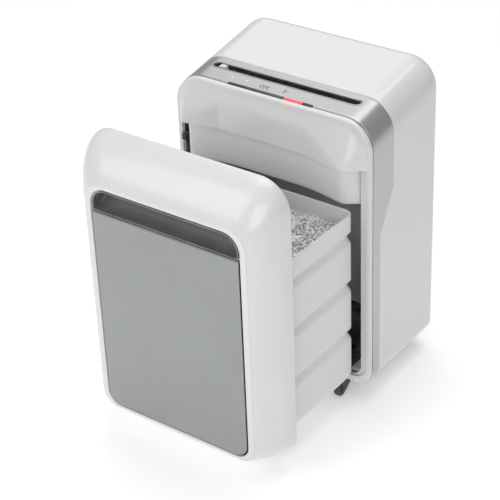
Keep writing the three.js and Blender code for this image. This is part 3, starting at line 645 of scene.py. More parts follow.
class Bench:
    """Dresses finished pieces and ties them to the frame."""

    def __init__(self) -> None:
        """Builds every material once."""
        effects = Effects()
        self.materials = {slot: finish.material(effects) for slot, finish in FINISHES.items()}
        self.slots = {part["node"]: part["material_slot"] for part in frame["record"]["subparts"]}

    def fit(self, piece: bpy.types.Object, body: str, *nodes: str, slot: str = "") -> bpy.types.Object:
        """Gives a piece its finish, the body it rides on and the nodes it stands for.

        Args:
            piece: the finished object.
            body: the body that it moves with.
            nodes: the nodes that it replaces.
            slot: the material slot, which is the first node's own when it isn't given.

        Returns:
            The piece.
        """
        chosen = slot or self.slots[nodes[0]]
        piece.data.materials.clear()
        piece.data.materials.append(self.materials[chosen])
        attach(piece, body)
        if nodes:
            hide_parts(*nodes)
        LOG.info("%s: %d points on %s", piece.name, len(piece.data.vertices), body)
        return piece

    def dress_frame(self) -> None:
        """Gives every node of the frame that still shows the finish of its slot."""
        for name, node in frame["nodes"].items():
            if not node.hide_render:
                node.data.materials.clear()
                node.data.materials.append(self.materials[self.slots[name]])


# --------------------------------------------------------------------------- body


@dataclass(frozen=True)
class BodyForm:
    """Outer form of the body: a rounded outline carried back, with a sloping top and a rolled back edge."""

    half_width: float = 185.0
    depth: float = 205.0
    front_height: float = 474.0
    slope: float = (510.0 - 474.0) / 205.0
    top_radius: float = 50.0
    bottom_radius: float = 30.0
    roll: float = 22.0
    wall: float = 3.0
    knee: float = 400.0

    def top(self, y: "float | Array") -> "float | Array":
        """Level of the sloping top at a depth."""
        return self.front_height + self.slope * y

    def point(self, u: Array, y: Array, inset: Array) -> Array:
        """Points on the form.

        u runs from 0 under the middle to 6 over the middle: 0 to 1 along the bottom, 1 to 2 round the
        lower corner, 2 to 3 up the side to the knee, 3 to 4 on to the upper corner, 4 to 5 round it and
        5 to 6 along the top. Its sign gives the side.

        Args:
            u: place round the outline.
            y: depth behind the rim plane.
            inset: distance inside the outer form.

        Returns:
            The points, with a last axis of three.
        """
        u, y, inset = np.broadcast_arrays(u, y, inset)
        a = np.abs(u)
        w, low, high = self.half_width - inset, self.bottom_radius - inset, self.top_radius - inset
        top = self.top(y) - inset
        lower, upper = np.clip(a - 1, 0, 1) * QUARTER, np.clip(a - 4, 0, 1) * QUARTER
        x = np.select(
            [a < 1, a < 2, a < 4, a < 5],
            [(w - low) * a, w - low + low * np.sin(lower), w, w - high + high * np.cos(upper)],
            (w - high) * (6 - a))
        z = np.select(
            [a < 1, a < 2, a < 3, a < 4, a < 5],
            [inset, inset + low - low * np.cos(lower),
             self.bottom_radius + (self.knee - self.bottom_radius) * (a - 2),
             self.knee + (top - high - self.knee) * (a - 3), top - high + high * np.sin(upper)],
            top)
        return np.stack([x * np.sign(u + 1e-12), y, z], axis=-1)

    def side_parameter(self, z: float) -> float:
        """The parameter u at a level on the side below the knee."""
        return 2 + (z - self.bottom_radius) / (self.knee - self.bottom_radius)

    def half_ring(self, start: float, lower: int = 60) -> Array:
        """Parameters from a start on the right side up to the middle of the top."""
        knots = [(0, 1, 12), (1, 2, 12), (2, 3, lower), (3, 4, 5), (4, 5, 20), (5, 6, 16)]
        runs = [np.linspace(max(a, start), b, n, endpoint=False) for a, b, n in knots if b > start]
        return np.concatenate(runs + [[6.0]])


@dataclass
class Body:
    """Covers, band and front frame of the machine."""

    bench: Bench
    datum: Datum
    form: BodyForm = field(default_factory=BodyForm)
    band_front: float = 9.0
    band_rear: float = 65.0
    strip_rear: float = 27.0
    corner_top: float = 348.0
    corner_bottom: float = 275.0
    seam: float = 239.0
    tray_half_width: float = 152.0
    gap: float = 0.7
    hole_gap: float = 0.3
    opening_half_width: float = 176.0
    opening_bottom: float = 13.0
    flange_half_width: float = 164.0
    notch_bottom: float = 325.0
    rim_depth: float = 6.8
    fascia_bottom: float = 399.0
    fascia_top: float = 468.0
    fascia_reach: float = 27.0
    fascia_left: float = 157.0
    fascia_right: float = 150.0
    fascia_side: float = 178.0
    shoulder_fall: float = 0.7136
    scoop_left: float = -93.0
    scoop_right: float = 70.0
    scoop_depth: float = 9.0
    scoop_rise: tuple[float, float] = (0.19, 0.233)

    def band_edge(self, u: Array) -> Array:
        """Rear edge of the band at each parameter, as a path of straight runs with softened corners."""
        a = np.abs(u)
        z = self.form.bottom_radius + (self.form.knee - self.form.bottom_radius) * (a - 2)
        z = np.where(a > 3, self.form.knee, z)
        levels = [0, self.corner_bottom, self.corner_top, self.form.knee]
        window = np.linspace(-6, 6, 9)[:, None]
        edges = [self.strip_rear, self.strip_rear, self.band_rear, self.band_rear]
        return np.interp(z[None] + window, levels, edges).mean(axis=0)

    def hoop(self, u: Array, front: Array, rear: Array, outer: float, front_roll: float, rear_roll: float,
             ridges: bool = False) -> Array:
        """Rows of a hoop of the shell: at each parameter, one closed section of the wall.

        The section's front and rear outer edges are quarter circles. Its depth and inset are worked out
        for all parameters at once and then laid on the body's form.

        Args:
            u: parameters round the outline.
            front: depth of the front edge at each parameter.
            rear: depth of the rear edge.
            outer: how far the outer face lies inside the form.
            front_roll: radius of the front outer edge.
            rear_roll: radius of the rear outer edge.
            ridges: whether fine grooves run behind the slot.

        Returns:
            Rows by points by three.
        """
        turn = steps(6, last=True) * QUARTER
        f, r = front[:, None], rear[:, None]
        flat = f + front_roll + (r - f - front_roll - rear_roll) * steps(34)[None, 1:]
        y = np.concatenate([f + front_roll * (1 - np.sin(turn[::-1])), flat,
                            r - rear_roll * (1 - np.sin(turn)), r, f], axis=1)
        dip = 0.0
        if ridges:
            wave = np.maximum(np.cos((flat - 57.0) * 2 * math.pi / 2.6), 0) * smooth_step(55.2, 55.8, flat)
            dip = 0.45 * wave * smooth_step(63.4, 62.6, flat) * smooth_step(5.05, 5.25, np.abs(u))[:, None]
        one = np.ones_like(f)
        inset = np.concatenate([
            outer + front_roll * (1 - np.cos(turn[::-1])) * one, outer + 0 * flat + dip,
            outer + rear_roll * (1 - np.cos(turn)) * one, self.form.wall * one, self.form.wall * one], axis=1)
        return self.form.point(u[:, None], y, inset)

    def box_tool(self, x: tuple[float, float], y: tuple[float, float],
                 z: tuple[float, float]) -> bpy.types.Object:
        """A plain box to cut with, from its limits in millimetres."""
        outline = np.array([[x[0], z[0]], [x[1], z[0]], [x[1], z[1]], [x[0], z[1]]])
        rows = np.stack([np.insert(outline, 1, y[0], axis=1), np.insert(outline, 1, y[1], axis=1)])
        return Shape(self.datum).loft(rows).mesh("tool")

    def build_cover(self) -> None:
        """White cover: outer skin from its front edge over the rolled back edge, and the same inside."""
        form, wall = self.form, self.form.wall
        half = form.half_ring(0.0)
        u = np.concatenate([half, -half[-2:0:-1]])
        front = self.band_edge(u) + self.gap
        roll, turn = 1.8, steps(7, last=True) * QUARTER
        outer: list[tuple[Array, Array]] = []
        for angle in turn[::-1]:
            outer.append((front + roll * (1 - math.sin(angle)), 0 * u + roll * (1 - math.cos(angle))))
        for part in steps(10)[1:]:
            outer.append((front + roll + (form.depth - form.roll - front - roll) * part, 0 * u))
        back = steps(11, last=True) * QUARTER
        for angle in back:
            outer.append((0 * u + form.depth - form.roll * (1 - math.sin(angle)),
                          0 * u + form.roll * (1 - math.cos(angle))))
        inner = form.roll - wall
        inside = [(0 * u + form.depth - wall - inner * (1 - math.sin(angle)),
                   0 * u + wall + inner * (1 - math.cos(angle))) for angle in back[::-1]]
        inside.append((front, 0 * u + wall))
        rows = np.stack([form.point(u, y, inset) for y, inset in outer[::-1] + inside[::-1]])
        piece = Shape(self.datum).loft(rows).mesh("cover_shell")
        holes = [self.box_tool((-self.tray_half_width, self.tray_half_width), (-70, 190), (-6, 12))]
        for node in ("power_inlet", "rocker_frame", "vent_grille"):
            low, high = (self.datum.millimetres(corner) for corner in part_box(node))
            low, high = low - self.hole_gap, high + self.hole_gap
            holes.append(self.box_tool((low[0], high[0]), (190, 220), (low[2], high[2])))
        cut_out(piece, *holes)
        self.bench.fit(piece, "body", "rear_cover")

    def build_band(self) -> None:
        """Silver band over the top and down both sides, with the slot and the light bar let into it."""
        start = self.form.side_parameter(self.seam + 0.3)
        half = self.form.half_ring(start)
        u = np.concatenate([half, -half[-2::-1]])
        rows = self.hoop(u, np.full_like(u, self.band_front), self.band_edge(u), 0.35, 1.6, 0.7, ridges=True)
        piece = Shape(self.datum).loft(rows).mesh("silver_band")
        slot = rounded_outline(140.0, 36.5, 54.5, 8.9, 8.9, arc=10)[0]
        tool = Shape(self.datum).loft(prism(slot, 430, 520, 0.01, Axis.Z)).mesh("tool")
        cut_out(piece, tool, self.box_tool((-85, 75), (0, 12), (440, 490)))
        self.bench.fit(piece, "body", "control_band")

    def build_channel_shade(self) -> None:
        """Black strip at the bottom of the channel between the front frame and the band, painted shade for
        the gap.
        """
        first = self.tray_half_width / (self.form.half_width - self.form.bottom_radius)
        half = self.form.half_ring(first)
        u = np.concatenate([half, -half[-2::-1]])
        flat = np.full_like(u, self.rim_depth - 1.2)
        rows = self.hoop(u, flat, flat + self.band_front - self.rim_depth + 2.4, 1.5, 0.1, 0.1)
        # Black plastic here is painted shade at the bottom of the gap, standing in for the seam's shadow.
        self.bench.fit(Shape(self.datum).loft(rows).mesh("channel_shadow_strip"), "body", slot="black_plastic")

    def build_strips(self) -> None:
        """The two strips that carry the band's line on below its seams."""
        top = self.form.side_parameter(self.seam)
        first = self.tray_half_width / (self.form.half_width - self.form.bottom_radius)
        u = np.concatenate([np.linspace(first, 1, 4, endpoint=False), np.linspace(1, 2, 14, endpoint=False),
                            np.linspace(2, top, 10)])
        for side, sign in (("left", -1), ("right", 1)):
            flat = np.full_like(u, self.band_front)
            rows = self.hoop(sign * u, flat, self.band_edge(u), 0.35, 1.6, 0.7)
            piece = Shape(self.datum).loft(rows).mesh(f"lower_strip_{side}")
            self.bench.fit(piece, "body", f"trim_strip_{side}")

    def fascia_depth(self, x: Array, z: Array) -> Array:
        """How far the fascia stands forward of the rim plane.

        It is the least of a plane that leans out to the lower edge, a side and a shoulder plane at each
        end, and the scoop, whose depth is flat in the middle and grows towards the ends. Where two of
        them meet the edge is rounded.

        Args:
            x: places across.
            z: levels.

        Returns:
            The distance forward.
        """
        across = np.abs(x)
        fall = self.fascia_reach / (self.fascia_top - self.fascia_bottom)
        lean = fall * (self.fascia_top - z)
        corner = np.where(x < 0, self.fascia_left, self.fascia_right)
        side = self.fascia_reach * (self.fascia_side - across) / (self.fascia_side - corner)
        below = fall * (z - self.fascia_bottom)
        shoulder = self.fascia_reach - self.shoulder_fall * (across - corner) - below
        body = smooth_least(smooth_least(lean, side, 3.0), shoulder, 7.0)
        out = np.maximum(self.scoop_left - x, x - self.scoop_right)
        rise = np.where(x < 0, *self.scoop_rise)
        scoop = self.scoop_depth + rise * 0.5 * (out + np.sqrt(out ** 2 + 9.0))
        depth = smooth_least(body, scoop, 2.6)
        depth = -smooth_least(-depth, np.zeros_like(depth), 3.0)
        return np.where(z > self.fascia_bottom - 1, depth, 0.0)

    def build_front_frame(self) -> None:
        """White front frame: the rim, the fascia over the bin and the flange inside the opening.

        Rows run from the opening's wall over its front edge, out across the face whose depth is the
        fascia's field, over the outer edge and back along the rear face to the flange.
        """
        counts = {"arc": 14, "side": 60, "span": 90}

        def opening(grow: float) -> Array:
            """Outline of the opening, made larger by a distance."""
            return rounded_outline(self.opening_half_width + grow, self.opening_bottom - grow,
                                   self.fascia_bottom + grow, 24 + grow, 4 + grow, **counts)[0]

        def outer(inset: float, y: float) -> Array:
            """Outline of the body at a depth, made smaller by a distance."""
            form = self.form
            return rounded_outline(form.half_width - inset, inset, form.top(y) - inset,
                                   form.bottom_radius - inset, form.top_radius - inset, **counts)[0]

        def at(outline: Array, y: "float | Array") -> Array:
            """An outline of two numbers to a point, placed at a depth."""
            depth = np.broadcast_to(np.asarray(y, float), outline.shape[:1])
            return np.stack([outline[:, 0], depth, outline[:, 1]], axis=-1)

        def front_of(outline: Array) -> Array:
            """Depth of the frame's face at each point of an outline."""
            return -self.fascia_depth(outline[:, 0], outline[:, 1])

        rim_inset, lip, edge = 0.8, 1.3, 2.2
        mouth = opening(0)
        rows = [at(mouth, 5.0)]
        for angle in steps(6) * QUARTER:
            ring = opening(lip * (1 - math.cos(angle)))
            rows.append(at(ring, front_of(opening(lip)) + lip * (1 - math.sin(angle))))
        inner, rim = opening(lip), outer(rim_inset + edge, 0)
        for part in steps(44, last=True):
            line = inner + (rim - inner) * part
            rows.append(at(line, front_of(line)))
        for angle in (steps(6, last=True) * QUARTER)[1:]:
            y = edge * (1 - math.cos(angle))
            rows.append(at(outer(rim_inset + edge * (1 - math.sin(angle)), y), y))
        rows.append(at(outer(rim_inset, self.rim_depth), self.rim_depth))
        flange = rounded_outline(self.flange_half_width, self.opening_bottom + 1, self.fascia_bottom, 18, 4,
                                 **counts)[0]
        height = flange[:, 1]
        notch = (flange[:, 0] < 0) & (height > self.notch_bottom) & (height < self.fascia_bottom - 0.01)
        flange = np.where(notch[:, None], mouth + (flange - mouth) * 0.02, flange)
        back = outer(rim_inset, self.rim_depth)
        for part in steps(18, last=True):
            line = back + (flange - back) * part
            hollow = smooth_step(402, 405, line[:, 1]) * smooth_step(463, 459, line[:, 1])
            hollow = hollow * smooth_step(163, 159, np.abs(line[:, 0]))
            deep = front_of(line) + self.form.wall - self.rim_depth
            rows.append(at(line, self.rim_depth + deep * hollow))
        rows.append(at(flange, 5.0))
        shape = Shape(self.datum).loft(np.stack(rows), ring=True)
        piece = shape.mesh("front_rim_and_fascia", math.radians(38))
        self.bench.fit(piece, "body", "front_frame")

    def build(self) -> None:
        """Builds every piece of the body's outside."""
        self.build_cover()
        self.build_band()
        self.build_channel_shade()
        self.build_strips()
        self.build_front_frame()


@dataclass
class Controls:
    """Slot bezel, guide, light bar and icons on the band."""

    bench: Bench
    datum: Datum
    form: BodyForm = field(default_factory=BodyForm)
    bezel_half_width: float = 139.7
    bezel_front: float = 36.8
    bezel_rear: float = 54.2
    slot_half_width: float = 136.0
    slot_front: float = 41.0
    slot_rear: float = 51.0
    bar_left: float = -84.7
    lit_left: float = 22.0
    lit_right: float = 56.0
    bar_right: float = 74.7
    chevron_size: float = 4.4

    def settle(self, y: Array, height: float) -> Array:
        """Height of the bezel's profile, which stands proud in front of the slot and lies flush behind it."""
        rear = smooth_step(self.slot_front, self.slot_rear, y)
        return height - max(height, 0.0) * 0.8 * rear

    def build_bezel(self) -> None:
        """Bezel and the black liner in it, painted shade inside the slot: a racetrack outline carried over
        profiles of inset and height.
        """
        track = rounded_outline(self.bezel_half_width, self.bezel_front, self.bezel_rear, 8.6, 8.6, arc=14,
                                side=2, span=30)[0]
        lip = [(0.0, -6.0), (0.0, -0.1), (0.15, 0.35), (0.5, 0.58), (0.9, 0.58), (1.25, 0.35), (1.5, -0.2),
               (1.9, -0.9), (2.2, -2.2), (2.3, -6.0)]
        shadow_liner = [(0.6, -19.0), (0.6, -6.3), (2.4, -6.0), (2.4, -2.0), (2.9, -1.7), (3.4, -2.2), (3.5, -19.0)]
        for name, profile in (("slot_bezel", lip), ("slot_shadow_liner", shadow_liner)):
            rings = [(shrink(track, inset), height) for inset, height in profile]
            rows = [np.insert(ring, 2, self.form.top(ring[:, 1]) + self.settle(ring[:, 1], height), axis=1)
                    for ring, height in rings]
            piece = Shape(self.datum).loft(np.stack(rows), ring=True).mesh(name)
            if name == "slot_bezel":
                self.bench.fit(piece, "body", "throat_bezel")
            else:
                # The liner is black as painted shade for the depth of the slot.
                self.bench.fit(piece, "body", slot="black_plastic")

    def build_guide(self) -> None:
        """White wedge that closes the slot's left end, sloping down to where the sheet goes in."""
        left, right = 3.3 - self.slot_half_width, -112.0
        top = self.form.top(self.slot_front) + 0.4
        corners = [(left, 458), (right, 458), (right, 468), (right - 4, top), (left + 6, top), (left, 474)]
        outline = rounded_polygon(corners, [1, 1, 2.5, 2, 2, 1.5], arc=6)
        rows = prism(outline, self.slot_front + 0.5, self.slot_rear - 0.5, 0.8, Axis.Y)
        piece = Shape(self.datum).loft(rows).mesh("slot_guide")
        self.bench.fit(piece, "body", "throat_guide")

    def build_light_bar(self) -> None:
        """Three lenses side by side along the band's front edge."""
        rear, front = 11.7, 6.0
        section = rounded_polygon([(front, 467.5), (rear, 467.5), (rear, self.form.top(rear) + 0.45),
                                   (front, self.form.top(front) + 0.45)], [0.4, 0.4, 0.8, 1.8], arc=5)
        spans = {"left": (self.bar_left, self.lit_left - 0.25), "lit": (self.lit_left, self.lit_right),
                 "right": (self.lit_right + 0.25, self.bar_right)}
        for name, (x0, x1) in spans.items():
            piece = Shape(self.datum).loft(prism(section, x0, x1, 0.35, Axis.X)).mesh(f"light_lens_{name}")
            self.bench.fit(piece, "body", f"light_bar_{name}")

    def lay(self, outline: Array, x: float, y: float) -> Array:
        """Rows of a thin print laid on the sloping band at a place."""
        flat = outline + np.array([x, y])
        lift = self.form.top(flat[:, 1])
        return np.stack([np.stack([flat[:, 0], flat[:, 1], lift + h], axis=-1) for h in (-0.36, 0.12)])

    def stroke(self, path: Pairs, width: float) -> Array:
        """Outline of a line of even width along a path of points."""
        at = np.array(path, float)
        along = np.gradient(at, axis=0)
        normal = np.stack([-along[:, 1], along[:, 0]], axis=1)
        normal /= np.linalg.norm(normal, axis=1, keepdims=True)
        return np.concatenate([at + normal * width / 2, (at - normal * width / 2)[::-1]])

    def build_icons(self) -> None:
        """Printed reverse and forward marks, and three small dots for the power mark."""
        circle = np.stack([np.cos(steps(24) * 2 * math.pi), np.sin(steps(24) * 2 * math.pi)], axis=1)

        def chevron(tip: float) -> Array:
            """Outline of an arrowhead that points left."""
            size = self.chevron_size
            return self.stroke([(tip + size, size), (tip, 0.0), (tip + size, -size)], 1.2)

        marks = {
            "power_icon": [(circle * size, x, y)
                           for size, x, y in ((2.0, -59.0, 25.0), (2.0, -87.0, 23.0), (1.5, 45.0, 24.0))],
            "reverse_icon": [(chevron(tip), -24.0, 21.0) for tip in (-8.0, -2.0, 4.0)],
            "forward_icon": [(chevron(-3.0) * np.array([-1.0, 1.0]), 12.0, 26.0)],
        }
        for node, figures in marks.items():
            shape = Shape(self.datum)
            for outline, x, y in figures:
                shape.loft(self.lay(outline, x, y))
            slot = "icon_white" if node == "power_icon" else "pocket_grey"
            self.bench.fit(shape.mesh(f"printed_{node}"), "body", node, slot=slot)

    def build(self) -> None:
        """Builds every control."""
        self.build_bezel()
        self.build_guide()
        self.build_light_bar()
        self.build_icons()


@dataclass
class Housing:
    """Grey housing of the cutting head, seen under the fascia."""

    bench: Bench
    datum: Datum
    bottom: float = 331.0
    top: float = 398.7
    wall: float = 3.0
    half_width: float = 162.0
    rear: float = 165.0
    chute_half_width: float = 126.0
    chute_front: float = 20.0
    chute_rear: float = 78.0
    scoop: tuple[float, float] = (-93.0, 70.0)
    scoop_y: float = 8.0
    front_left: tuple[float, float] = (-160.0, -7.0)
    front_right: tuple[float, float] = (137.0, -6.0)

    def build(self) -> None:
        """Rows of the plan outline run up the outside, down the inside and through the chute's mouth."""
        w, (left, right) = self.half_width, self.scoop
        plan = rounded_polygon(
            [(-w, 14), self.front_left, (left, self.scoop_y), (right, self.scoop_y), self.front_right,
             (w, 12), (w, self.rear), (-w, self.rear)],
            [6, 9, 34, 34, 9, 6, 8, 8], arc=12)
        centre = np.array([0.0, (self.chute_front + self.chute_rear) / 2])
        ray = plan - centre
        half = np.array([self.chute_half_width, (self.chute_rear - self.chute_front) / 2])
        chute = centre + ray / np.max(np.abs(ray) / half, axis=1, keepdims=True)
        lip = 1.1
        foot = [(lip + 0.6, 0.0), (lip, 0.6), (lip, 3.4), (0.5, 3.8), (0.0, 4.4)]
        profile = [(inset, self.bottom + rise) for inset, rise in foot]
        profile += [(0.0, self.top - 0.5), (0.4, self.top), (self.wall, self.top),
                    (self.wall, self.bottom + self.wall)]
        rows = [np.insert(shrink(plan, inset), 2, z, axis=1) for inset, z in profile]
        rows += [np.insert(chute, 2, z, axis=1) for z in (self.bottom + self.wall, self.bottom)]
        piece = Shape(self.datum).loft(np.stack(rows), ring=True).mesh("head_housing")
        self.bench.fit(piece, "body", "lower_housing")


# --------------------------------------------------------------------------- bin


@dataclass
class Bin:
    """Front panel with its plate and pocket, the tub and the shreds in it."""

    bench: Bench
    datum: Datum
    form: BodyForm = field(default_factory=BodyForm)
    depth: float = 64.0
    foot: float = 3.0
    face_half_width: float = 149.0
    face_bottom: float = 5.0
    face_top: float = 411.0
    mouth_half_width: float = 139.0
    mouth_bottom: float = 9.5
    mouth_top: float = 405.0
    recess: float = 4.8
    plate_half_width: float = 136.0
    plate_bottom: float = 12.5
    plate_top: float = 364.0
    pocket_bottom: float = 365.3
    pocket_top: float = 402.7
    pocket_depth: float = 24.5
    tub_half_width: float = 161.0
    tub_bottom: float = 18.5
    tub_top: float = 327.0
    tub_front: float = -10.0
    tub_rear: float = 198.0
    tub_wall: float = 2.6
    grooves: tuple[float, ...] = (113.0, 203.0, 290.0)
    heap_top: float = 313.0
    strip_count: int = 5200
    strip_length: tuple[float, float] = (7.0, 15.0)
    strip_width: tuple[float, float] = (2.0, 3.2)
    strip_thickness: float = 0.22
    screw: tuple[float, float] = (100.0, 250.0)
    boss_radius: float = 7.0

    def panel_rings(self, inset: float, deep: Array, blend: Array) -> Array:
        """Outlines between the panel's back and its face.

        Args:
            inset: distance inside the outer skin.
            deep: depth of each outline.
            blend: 0 at the back's outline and 1 at the face's.

        Returns:
            Outlines by points by three.
        """
        form, t = self.form, np.asarray(blend, float)
        rings = rounded_outline(
            (form.half_width + (self.face_half_width - form.half_width) * t) - inset,
            self.foot + (self.face_bottom - self.foot) * t + inset,
            form.front_height + (self.face_top - form.front_height) * t - inset * (1 + 0.5 * t),
            form.bottom_radius + (26 - form.bottom_radius) * t - inset,
            form.top_radius + (34 - form.top_radius) * t - inset, arc=20, side=14, span=20)
        deep = np.broadcast_to(np.asarray(deep, float)[:, None, None], rings.shape[:2] + (1,))
        return np.concatenate([rings[..., :1], deep, rings[..., 1:]], axis=-1)

    def build_panel(self) -> None:
        """Panel: a swelling skin from the back edge to the face, a recess in the face and a hollow back.

        The side is a cubic curve from the back edge to the face, full near the back and turning in over
        a round shoulder, so that the light runs along it.
        """
        t = steps(26, last=True)
        path = np.array([(-2.0, 0.0), (-24.0, 0.035), (-50.0, 0.52), (-62.6, 0.975)])
        weight = np.stack([(1 - t) ** 3, 3 * t * (1 - t) ** 2, 3 * t ** 2 * (1 - t), t ** 3], axis=1)
        curve = weight @ path
        edge = (steps(5, last=True) * QUARTER)[::-1]
        rolled = np.stack([-0.5 - 1.5 * (1 - np.sin(edge)), 0 * edge], axis=1)
        outer = [self.panel_rings(d, [y], [b]) for (y, b), d in zip(rolled, 1.2 * (1 - np.cos(edge)))]
        outer.append(self.panel_rings(0, curve[1:, 0], curve[1:, 1]))
        nose = steps(5, last=True)[1:] * QUARTER
        outer.append(self.panel_rings(0, -62.6 - 1.4 * np.sin(nose), 0.975 + 0.045 * (1 - np.cos(nose))))
        mouth = {"arc": 20, "side": 14, "span": 20}
        for grow, y in ((1.0, -64.0), (0.35, -63.8), (0.0, -63.2), (0.0, -64 + self.recess)):
            ring = rounded_outline(self.mouth_half_width + grow, self.mouth_bottom - grow * 0.6,
                                   self.mouth_top + grow, 24.5 + grow, 30 + grow, **mouth)
            outer.append(np.insert(ring, 1, y, axis=2))
        wall = self.form.wall
        inside = self.panel_rings(wall, curve[:, 0] * (58 / 62.6), curve[:, 1] * 0.93)
        rows = np.concatenate([np.concatenate(outer)[::-1], inside])
        shape = Shape(self.datum).loft(rows)
        turn, r = steps(20) * 2 * math.pi, self.boss_radius
        screw_x, screw_z = self.screw
        for x in (-screw_x, screw_x):
            boss = np.stack([x + r * np.cos(turn), screw_z + r * np.sin(turn)], axis=1)
            shape.loft(prism(boss, -59.5, self.tub_front - 0.3, 0.5, Axis.Y))
        tab = rounded_outline(4.2, 358, 366, 1, 1, arc=3, side=2, span=3)[0] + np.array([-172.2, 0])
        shape.loft(prism(tab, -12, -4.3, 0.6, Axis.Y))
        piece = shape.mesh("panel_shell", math.radians(40))
        hole = rounded_outline(self.plate_half_width, self.plate_top + 1, 403, 1.0, 28, arc=16)[0]
        tool = Shape(self.datum).loft(prism(hole, -80, -50, 0.01, Axis.Y)).mesh("tool")
        cut_out(piece, tool)
        self.bench.fit(piece, "bin", "bin_panel")

    def build_plate(self) -> None:
        """Silver plate with a narrow slanted border, and a black sheet behind the channel round it, painted
        shade for the channel.
        """
        outline = rounded_outline(self.plate_half_width, self.plate_bottom, self.plate_top, 22, 1.2, arc=16,
                                  side=30, span=30)[0]
        rows = []
        edge = ((0.5, -61.7), (0.0, -62.1), (0.0, -63.5), (0.35, -64.0), (1.0, -64.25), (1.7, -64.3))
        for inset, y in edge:
            rows.append(np.insert(shrink(outline, inset), 1, y, axis=1))
        piece = Shape(self.datum).loft(np.stack(rows)).mesh("front_plate", math.radians(25))
        self.bench.fit(piece, "bin", "inset_plate")
        # A thin black sheet at the bottom of the channel round the plate: painted shade, not a part of its
        # own.
        seat = rounded_outline(self.mouth_half_width - 0.3, self.mouth_bottom + 0.3, self.plate_top - 1,
                               24, 1, arc=16, side=6, span=6)[0]
        shade_sheet = Shape(self.datum).loft(prism(seat, -59.6, -59.0, 0.05, Axis.Y)).mesh("plate_shadow_sheet")
        self.bench.fit(shade_sheet, "bin", slot="black_plastic")

    def build_pocket(self) -> None:
        """Pocket: a scoop whose floor climbs as it goes in, in a wall of even thickness."""
        count = 12
        t = steps(count, last=True)
        rim_y = 1 - self.depth
        deep = rim_y + self.pocket_depth * np.sin(t * QUARTER)
        low = self.pocket_bottom + 2.2 + 17 * (1 - np.cos(t * QUARTER))
        width = self.plate_half_width - 2.5 - 7 * (1 - np.cos(t * QUARTER))

        def rings(grow: float, y: Array) -> Array:
            """Outlines of the scoop, made larger by the wall's thickness and placed at depths."""
            made = rounded_outline(width + grow, low - grow, self.pocket_top - 2.2 - 1.5 * t + grow,
                                   1.5 + grow + 6 * t, 24 + grow - 6 * t, arc=14, side=6, span=16)
            depth = np.broadcast_to(y[:, None, None], made.shape[:2] + (1,))
            return np.concatenate([made[..., :1], depth, made[..., 1:]], axis=-1)

        inner = rings(0.0, deep)
        lip = rings(2.2, np.full(count, rim_y))[:1]
        outer = rings(2.2, np.minimum(deep + 2.0, -36.2))
        rows = np.concatenate([inner[::-1], lip, outer])
        piece = Shape(self.datum).loft(rows).mesh("pocket_scoop", math.radians(45))
        # The pocket takes its slot's dark grey finish, which is painted shade for the hollow under the lip.
        self.bench.fit(piece, "bin", "handle_pocket")

    def swell(self, z: Array) -> Array:
        """How far the tub's side is drawn in at each level.

        Below a groove it returns over a long cosine slope, and above it over a short one.
        """
        drawn = np.zeros_like(z)
        for level in self.grooves:
            below, above = (level - z) / 19.0, (z - level) / 6.5
            drop = np.where(z < level, 0.5 * (1 + np.cos(np.clip(below, 0, 1) * math.pi)),
                            np.sqrt(np.maximum(1 - np.clip(above, 0, 1), 0)) ** 2.2)
            drawn = np.maximum(drawn, 5.2 * drop)
        foot = np.clip((z - self.tub_bottom) / 18.0, 0, 1)
        return np.maximum(drawn, 8.0 * (1 - np.sin(foot * QUARTER)))

    def build_tub(self) -> None:
        """Tub: plan outlines drawn in by the swelling of its side, up the outside and down the inside."""

        def plan(inset: Array, z: Array, wall: float = 0.0) -> Array:
            """Outlines at levels, drawn in by an inset and by the wall's thickness."""
            drawn = inset + wall
            made = rounded_outline(self.tub_half_width - drawn, self.tub_front + wall + 0 * drawn,
                                   self.tub_rear - drawn, 8 - wall / 2, 15 - wall, arc=10, side=10, span=10)
            level = np.broadcast_to(z[:, None, None], made.shape[:2] + (1,))
            return np.concatenate([made, level], axis=-1)

        top, floor = self.tub_top, self.tub_bottom + self.tub_wall
        z = np.unique(np.concatenate([
            np.linspace(self.tub_bottom, self.tub_bottom + 18, 8),
            np.linspace(self.tub_bottom + 18, top - 6, 30),
            *[np.linspace(g - 19, g, 9) for g in self.grooves],
            *[np.linspace(g, g + 6.5, 8) for g in self.grooves]]))
        rim = np.array([(0.0, top - 2.4), (0.0, top - 1.4), (0.4, top - 0.4), (1.0, top)])
        down = z[z > floor + 4][::-1]
        lip = np.array([(-0.9, top), (-0.3, top - 0.3), (0.0, top - 1.0)])
        base = np.array([(9.0, floor + 1.4), (12.0, floor)])
        rows = [plan(self.swell(z), z), plan(rim[:, 0], rim[:, 1]), plan(lip[:, 0], lip[:, 1], self.tub_wall),
                plan(self.swell(down), down, self.tub_wall), plan(base[:, 0], base[:, 1], self.tub_wall)]
        piece = Shape(self.datum).loft(np.concatenate(rows)).mesh("bin_tub_shell", math.radians(36))
        self.bench.fit(piece, "bin", "bin_tub")

    def heap_height(self, x: Array, y: Array) -> Array:
        """Level of the heap: low at its edges, with slow waves of differing length across it."""
        edge = np.minimum(smooth_step(0, 60, 151 - np.abs(x)), smooth_step(0, 55, np.minimum(y + 2, 194 - y)))
        wave = np.sin(x / 23.0 + 0.7) * np.cos(y / 19.0)
        wave = wave + 0.6 * np.sin(x / 11.0 - y / 13.0) + 0.4 * np.cos(y / 7.0 + x / 9)
        return self.heap_top - 17 + 8.5 * edge + 1.6 * wave

